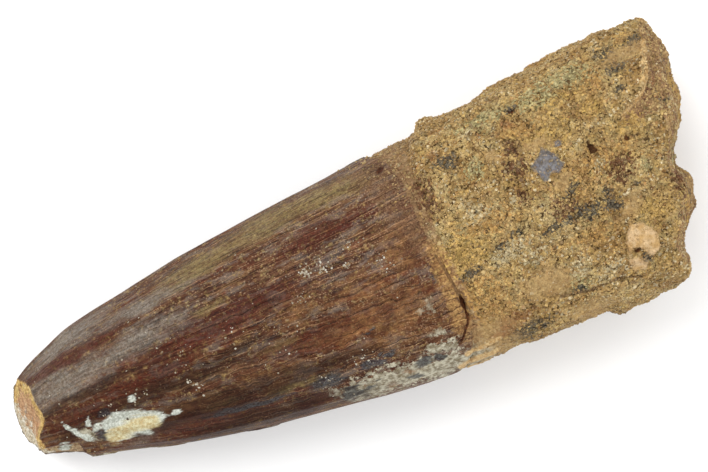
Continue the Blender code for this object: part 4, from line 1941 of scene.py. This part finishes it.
@dataclass(frozen=True)
class StainLayers:
    """Lays every stain over a layer."""

    finishes: Mapping[Stain, StainFinish] = field(default_factory=lambda: STAIN_FINISHES)
    strength: float = 1.0
    cloud_size: float = 0.5
    streak_size: float = 0.55
    streak_stretch: float = 9.0
    speckle_size: float = 0.17
    grains_from: float = -0.9
    grains_to: float = 0.8
    spare_grains: float = 0.04
    grain_strength: float = 0.9

    def over(self, at: Places, layer: Layer) -> Layer:
        """Lays the stains.

        Args:
            at: Where they are read.
            layer: What they lie on.

        Returns:
            What shows.
        """
        sheet = at.sheet
        patterns = {
            Edge.CLOUD: sheet.cloud(at.place, self.cloud_size, 4.0, 0.65) - 0.5,
            Edge.STREAK: sheet.cloud(at.stretched(self.streak_stretch), self.streak_size, 5.0, 0.7) - 0.5,
        }
        sizes = {finish.mottle_size for finish in self.finishes.values()}
        mottles = {size: sheet.cloud(at.place, size, 3.0, 0.6).rise(0.35, 0.65) for size in sorted(sizes)}
        luck = at.chance.part(1)
        speckle = sheet.cloud(at.place, self.speckle_size, 3.0, 0.7).rise(0.3, 0.7)
        deposit_shade, deposit_height = 0.8 + 0.4 * speckle, 0.03 * speckle
        colour, shade, height = layer.colour, layer.shade, layer.height
        for stain, finish in self.finishes.items():
            reach = sheet.value(stain.value)
            if finish.edge is Edge.GRAIN:
                often = reach.rise(self.grains_from, self.grains_to) * finish.strength
                share = (often - luck - self.spare_grains).rise(-0.04, 0.04) * self.grain_strength
            else:
                reach = reach + patterns[finish.edge] * finish.ragged
                share = reach.rise(-finish.soft, finish.soft) * (finish.strength * self.strength)
            stained = sheet.mix(mottles[finish.mottle_size], finish.colour, finish.other)
            colour = sheet.mix(share, colour, stained)
            if finish.deposit:
                shade = shade + (deposit_shade - shade) * share
                height = height + (deposit_height - height) * share
        return Layer(colour, shade, layer.roughness, height)


@dataclass(frozen=True)
class ToothMaterial:
    """Material of the skin: enamel, crust, bone and breaks, each where it belongs, under the stains."""

    warp_size: float = 0.4
    warp: float = 0.2
    broad_wrinkle_size: float = 2.2
    broad_wrinkle: float = 0.9
    fine_wrinkle_size: float = 0.7
    fine_wrinkle: float = 0.2
    ragged_size: float = 0.5
    rim_from: float = 0.62
    rim_to: float = 0.85
    chalk_over_rim: float = 0.25

    def build(self) -> bpy.types.Material:
        """Builds the material.

        Returns:
            The material.
        """
        sheet = MaterialSheet("fossil_tooth")
        place = sheet.place_in_mm()
        warped = place + (sheet.cloud(place, self.warp_size) - 0.5) * self.warp
        crust = CrustFinish()
        chance = sheet.cells(warped, crust.grain_size, "Color")
        wrinkle = (sheet.cloud(place, self.broad_wrinkle_size) - 0.5) * self.broad_wrinkle
        wrinkle = wrinkle + (sheet.cloud(place, self.fine_wrinkle_size) - 0.5) * self.fine_wrinkle
        at = Places(sheet, warped, sheet.vector("streak") + wrinkle, chance)
        ragged = sheet.cloud(place, self.ragged_size, 4.0, 0.65) - 0.5
        past_edge = sheet.value("past_edge") + ragged * 0.9
        layer = EnamelFinish().layer(at).under(BONE.layer(at), past_edge.rise(-0.1, 0.1))
        layer = layer.under(LOST_DENTINE.layer(at), (sheet.value("lost") + ragged * 0.6).rise(0.4, 0.6))
        layer = layer.under(crust.layer(at), (sheet.value("cover") + ragged * 0.5).rise(0.0, 0.15))
        layer = self.over_tip(at, layer, ragged)
        on_end = sheet.value("on_end").at_least(sheet.value("beyond_crest").rise(-0.1, 0.1))
        layer = layer.under(END_BREAK.layer(at), (on_end + ragged * 0.6).rise(0.4, 0.6))
        return sheet.finish(StainLayers().over(at, layer), specular=0.08)

    def over_tip(self, at: Places, layer: Layer, ragged: Signal) -> Layer:
        """Lays the dentine, its yellow rim and the chalky rear of the tip's break.

        Args:
            at: Where they are read.
            layer: What they lie on.
            ragged: Noise that makes their edges ragged.

        Returns:
            What shows.
        """
        share, rear = at.sheet.value("tip_share"), at.sheet.value("tip_rear")
        reach = 1.0 + self.chalk_over_rim * (rear + 0.3).at_least(0.0) - share
        on_tip = (reach + ragged * 0.1).rise(-0.03, 0.03)
        rim = (share + ragged * 0.9).rise(self.rim_from, self.rim_to)
        chalk = (rear * share + ragged * 1.2).rise(-0.06, 0.2)
        layer = layer.under(TIP_DENTINE.layer(at), on_tip)
        layer = layer.under(TIP_RIM.layer(at), on_tip * rim)
        return layer.under(TIP_CHALK.layer(at), on_tip * chalk)


class GrainMaterial:
    """Material of the sand grains, each of one tint."""

    def build(self) -> bpy.types.Material:
        """Builds the material.

        Returns:
            The material.
        """
        sheet = MaterialSheet("sand_grains")
        site = sheet.vector("site") * PER_MM
        chance = sheet.node("ShaderNodeTexWhiteNoise", {}, {"Vector": site}, "Color")
        at = Places(sheet, site, sheet.vector("streak"), chance)
        layer = Layer(
            colour=CrustFinish().colour(at),
            shade=0.6 + 0.78 * chance.part(0),
            roughness=chance.part(2) * 0.5 + 0.35,
            height=sheet.cloud(sheet.place_in_mm(), 0.08) * 0.02,
        )
        return sheet.finish(StainLayers(strength=0.6).over(at, layer), specular=0.3)


@dataclass(frozen=True)
class SpeckCluster:
    """Place on the crown where pale specks stand close together, in millimetres."""

    x: float
    y: float
    spread: float
    count: int
    largest: float = 0.16


@dataclass
class LimeSpecks:
    """Small pale lumps of lime that stick to the enamel, in clusters and singly, joined in one mesh."""

    clusters: tuple[SpeckCluster, ...] = (
        SpeckCluster(33.4, 3.4, 0.6, 26, 0.13), SpeckCluster(35.0, 3.1, 0.7, 24, 0.12),
        SpeckCluster(37.2, 2.3, 0.3, 8, 0.12), SpeckCluster(38.4, 4.0, 0.6, 10, 0.11),
        SpeckCluster(31.7, 1.0, 0.6, 12, 0.11), SpeckCluster(40.6, 1.0, 1.2, 14, 0.1),
        SpeckCluster(19.1, -2.5, 0.9, 12, 0.14), SpeckCluster(28.5, -2.2, 1.6, 14, 0.12),
        SpeckCluster(24.0, 1.0, 1.2, 8, 0.11), SpeckCluster(9.6, -1.4, 1.0, 12, 0.1),
        SpeckCluster(13.6, -1.6, 1.4, 12, 0.1), SpeckCluster(18.0, 0.4, 2.2, 12, 0.1),
        SpeckCluster(35.0, -6.9, 1.6, 12, 0.12), SpeckCluster(16.0, 4.2, 2.4, 8, 0.09),
        SpeckCluster(31.1, -7.4, 1.1, 22, 0.09), SpeckCluster(35.6, -7.6, 0.9, 18, 0.1),
    )
    loose_count: int = 110
    smallest: float = 0.045
    loose_largest: float = 0.09
    flatness: float = 0.3
    seed: int = 5
    crown: tuple[float, float] = (2.5, 44.0)
    axis_height: float = 8.0
    reach: float = 40.0
    closeness: float = 0.6
    lengths: tuple[float, float] = (0.8, 1.5)
    widths: tuple[float, float] = (0.7, 1.1)

    def sites(self, tree: BVHTree, rng: np.random.Generator) -> list[tuple[Vector, Vector, float]]:
        """Chooses the places and radii of all specks.

        Args:
            tree: The skin's faces.
            rng: Source of chance.

        Returns:
            Place, normal and radius of each speck, in metres.
        """
        found = []
        middle = Vector(FOOTPRINT_MIDDLE)
        for cluster in self.clusters:
            spread = cluster.spread * self.closeness
            for x, y in rng.normal((cluster.x, cluster.y), spread, (cluster.count, 2)):
                start = (Vector((x, y, self.reach)) - middle) * MM
                radius = rng.uniform(self.smallest, cluster.largest)
                found.append((tree.ray_cast(start, Vector((0.0, 0.0, -1.0))), radius))
        for _ in range(self.loose_count):
            angle = rng.uniform(0.0, math.tau)
            outward = Vector((0.0, math.cos(angle), math.sin(angle)))
            axis = Vector((rng.uniform(*self.crown), 0.0, self.axis_height)) - middle
            radius = self.smallest + (self.loose_largest - self.smallest) * rng.uniform() ** 2
            found.append((tree.ray_cast((axis + outward * self.reach) * MM, -outward), radius))
        clear = self.loose_largest * MM
        return [(*hit[:2], radius * MM) for hit, radius in found if hit[0] is not None and hit[0].z > clear]

    def build(self, skin: bpy.types.Object, material: bpy.types.Material) -> bpy.types.Object:
        """Makes the specks.

        Args:
            skin: What they stick to.
            material: What they are made of.

        Returns:
            The object.
        """
        rng = np.random.default_rng(self.seed)
        tree = BVHTree.FromObject(skin, bpy.context.evaluated_depsgraph_get())
        bm = bmesh.new()
        for place, normal, radius in self.sites(tree, rng):
            spin = Matrix.Rotation(rng.uniform(0.0, math.tau), 4, "Z")
            shares = (rng.uniform(*self.lengths), rng.uniform(*self.widths), self.flatness)
            sizes = [radius * share for share in shares]
            turn = normal.to_track_quat("Z", "Y").to_matrix().to_4x4() @ spin
            matrix = Matrix.Translation(place) @ turn @ Matrix.Diagonal((*sizes, 1.0))
            bmesh.ops.create_icosphere(bm, subdivisions=2, radius=1.0, matrix=matrix)
        mesh = bpy.data.meshes.new("lime_specks")
        bm.to_mesh(mesh)
        bm.free()
        mesh.materials.append(material)
        return add_object("lime_specks", mesh)


@dataclass(frozen=True)
class LimeFinish:
    """Pale, matt lime."""

    stops: tuple[tuple[float, Colour], ...] = (
        (0.3, (134, 118, 98)),
        (0.5, (174, 162, 140)),
        (0.7, (216, 210, 194)),
    )

    def build(self) -> bpy.types.Material:
        """Builds the material.

        Returns:
            The material.
        """
        sheet = MaterialSheet("lime")
        place = sheet.place_in_mm()
        speck = sheet.cloud(place, 0.6, 1.0)
        fine = sheet.cloud(place, 0.08, 2.0)
        layer = Layer(sheet.ramp(speck, self.stops), 0.75 + 0.5 * fine, 0.8 + 0.1 * fine, fine * 0.02)
        return sheet.finish(layer, specular=0.2)


@dataclass
class SandGrains:
    """Sand grains that stand out of the crust, joined in one mesh."""

    name: str
    per_square_mm: float
    smallest: float
    largest: float
    seed: int
    angular: bool = False
    sunk: float = 0.25
    proportions: tuple[float, float] = (0.6, 1.35)
    block_size: tuple[float, float, float] = (1.6, 1.6, 1.6)

    def scatter_nodes(self, material: bpy.types.Material) -> bpy.types.NodeTree:
        """Builds the nodes that scatter the grains over a skin.

        Args:
            material: What the grains are made of.

        Returns:
            The nodes.
        """
        tree = bpy.data.node_groups.new(self.name, "GeometryNodeTree")
        for way in ("INPUT", "OUTPUT"):
            tree.interface.new_socket("Geometry", in_out=way, socket_type="NodeSocketGeometry")
        sheet = NodeSheet(tree)
        skin = sheet.node("NodeGroupInput", {}, {})
        density = sheet.node(
            "GeometryNodeInputNamedAttribute", {"data_type": "FLOAT"}, {"Name": "grain_density"}, "Attribute"
        )
        sites = sheet.node(
            "GeometryNodeDistributePointsOnFaces",
            {"distribute_method": "RANDOM"},
            {"Mesh": skin, "Density": density * (self.per_square_mm / MM**2), "Seed": self.seed},
            "Points",
        )
        marked = sheet.node(
            "GeometryNodeStoreNamedAttribute",
            {"data_type": "FLOAT_VECTOR", "domain": "POINT"},
            {"Geometry": sites, "Name": "site", "Value": sheet.node("GeometryNodeInputPosition", {}, {})},
        )
        luck = sheet.node("FunctionNodeRandomValue", {"data_type": "FLOAT"}, {"Seed": self.seed + 1}, 1)
        span = self.largest - self.smallest
        radius = luck.combine("POWER", 2.0).combine("MULTIPLY_ADD", span * MM, self.smallest * MM)
        size = self.random_vector(sheet, *self.proportions, self.seed + 2).scaled(radius)
        sink = sites.beside("Normal").scaled(radius * -self.sunk)
        if self.angular:
            ball = sheet.node("GeometryNodeMeshCube", {}, {"Size": self.block_size}, "Mesh")
        else:
            ball = sheet.node("GeometryNodeMeshIcoSphere", {}, {"Radius": 1.0, "Subdivisions": 1}, "Mesh")
        placed = sheet.node(
            "GeometryNodeInstanceOnPoints",
            {},
            {
                "Points": sheet.node("GeometryNodeSetPosition", {}, {"Geometry": marked, "Offset": sink}),
                "Instance": ball,
                "Rotation": self.random_vector(sheet, 0.0, math.tau, self.seed + 3),
                "Scale": size,
            },
        )
        real = sheet.node("GeometryNodeRealizeInstances", {}, {"Geometry": placed})
        dressed = sheet.node("GeometryNodeSetMaterial", {}, {"Geometry": real, "Material": material})
        sheet.end("NodeGroupOutput", dressed)
        return tree

    def random_vector(self, sheet: NodeSheet, low: float, high: float, seed: int) -> Signal:
        """Adds a random vector for each grain.

        Args:
            sheet: The nodes that it joins.
            low: Least size of each coordinate.
            high: Greatest size of each coordinate.
            seed: Source of chance.

        Returns:
            The vector.
        """
        sockets = {0: (low,) * 3, 1: (high,) * 3, "Seed": seed}
        return sheet.node("FunctionNodeRandomValue", {"data_type": "FLOAT_VECTOR"}, sockets)

    def build(self, skin: bpy.types.Object, material: bpy.types.Material) -> bpy.types.Object:
        """Scatters the grains and makes them one plain mesh.

        Args:
            skin: What they stand on.
            material: What they are made of.

        Returns:
            The object.
        """
        carrier = add_object(self.name + "_carrier", skin.data)
        modifier = carrier.modifiers.new("scatter", "NODES")
        modifier.node_group = self.scatter_nodes(material)
        graph = bpy.context.evaluated_depsgraph_get()
        mesh = bpy.data.meshes.new_from_object(
            carrier.evaluated_get(graph), preserve_all_data_layers=True, depsgraph=graph
        )
        mesh.name = self.name
        bpy.data.objects.remove(carrier)
        return add_object(self.name, mesh)


@dataclass
class Studio:
    """Pale floor, soft light and the camera that looks down on the tooth."""

    turn_degrees: float = -24.0
    aim: tuple[float, float, float] = (1.74, 4.60, 9.0)
    camera_height: float = 295.0
    lens: float = 150.0
    sensor: float = 36.0
    floor_size: float = 2.0
    floor_colour: Colour = (250, 250, 250)
    key_direction: tuple[float, float, float] = (-0.36, 0.93, 1.5)
    key_distance: float = 0.5
    key_size: float = 0.36
    key_power: float = 1.6
    low_direction: tuple[float, float, float] = (0.9, -0.8, 0.8)
    low_power: float = 0.8
    fill: float = 0.95

    def build(self) -> None:
        """Makes the camera, the floor and the lights."""
        self.build_camera()
        self.build_floor()
        self.build_lights()

    def build_camera(self) -> None:
        """Makes the camera."""
        camera = bpy.data.cameras.new("camera")
        camera.lens = self.lens
        camera.sensor_width = self.sensor
        camera.clip_start, camera.clip_end = 0.01, 10.0
        obj = add_object("camera", camera)
        obj.location = [c * MM for c in (*self.aim[:2], self.aim[2] + self.camera_height)]
        obj.rotation_euler = (0.0, 0.0, math.radians(self.turn_degrees))
        bpy.context.scene.camera = obj

    def build_floor(self) -> None:
        """Makes the floor."""
        bm = bmesh.new()
        bmesh.ops.create_grid(bm, x_segments=1, y_segments=1, size=self.floor_size)
        mesh = bpy.data.meshes.new("floor")
        bm.to_mesh(mesh)
        bm.free()
        sheet = MaterialSheet("pale_floor")
        shader = sheet.node(
            "ShaderNodeBsdfPrincipled",
            {},
            {"Base Color": linear(self.floor_colour), "Roughness": 0.9, "Specular IOR Level": 0.1},
        )
        sheet.end("ShaderNodeOutputMaterial", shader)
        mesh.materials.append(sheet.material)
        add_object("floor", mesh)

    def build_light(self, name: str, towards: tuple[float, float, float], power: float) -> None:
        """Makes a round, soft light that faces the tooth.

        Args:
            name: The light's name.
            towards: Its direction, seen from the tooth.
            power: How bright it is, in watts.
        """
        light = bpy.data.lights.new(name, "AREA")
        light.shape = "DISK"
        light.size = self.key_size
        light.energy = power
        obj = add_object(name, light)
        direction = Vector(towards).normalized()
        obj.location = direction * self.key_distance
        obj.rotation_euler = direction.to_track_quat("Z", "Y").to_euler()

    def build_lights(self) -> None:
        """Makes the soft light from one side, a weaker one from the other and light from all round."""
        scene = bpy.context.scene
        self.build_light("key", self.key_direction, self.key_power)
        self.build_light("low", self.low_direction, self.low_power)
        world = bpy.data.worlds.new("studio")
        world.use_nodes = True
        background = world.node_tree.nodes["Background"]
        background.inputs["Color"].default_value = (1.0, 1.0, 1.0, 1.0)
        background.inputs["Strength"].default_value = self.fill
        scene.world = world
        scene.view_settings.view_transform = "Standard"


def main() -> None:
    """Builds the pieces in order and reports each one."""
    logging.basicConfig(level=logging.INFO, format="%(message)s")
    Studio().build()
    skin = ToothSkin().build(ToothMaterial().build())
    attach(skin, "root")
    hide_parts("tooth")
    LOG.info("%s: %d vertices", skin.name, len(skin.data.vertices))
    grain_material = GrainMaterial().build()
    sands = (
        SandGrains("coarse_sand", 1.0, 0.14, 0.25, 11),
        SandGrains("medium_sand", 7.6, 0.08, 0.145, 22, angular=True),
        SandGrains("fine_sand", 7.6, 0.055, 0.09, 33, angular=True),
    )
    for sand in sands:
        grains = sand.build(skin, grain_material)
        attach(grains, "root")
        LOG.info("%s: %d faces", grains.name, len(grains.data.polygons))
    specks = LimeSpecks().build(skin, LimeFinish().build())
    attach(specks, "root")
    LOG.info("%s: %d faces", specks.name, len(specks.data.polygons))


if __name__ == "__main__":
    main()
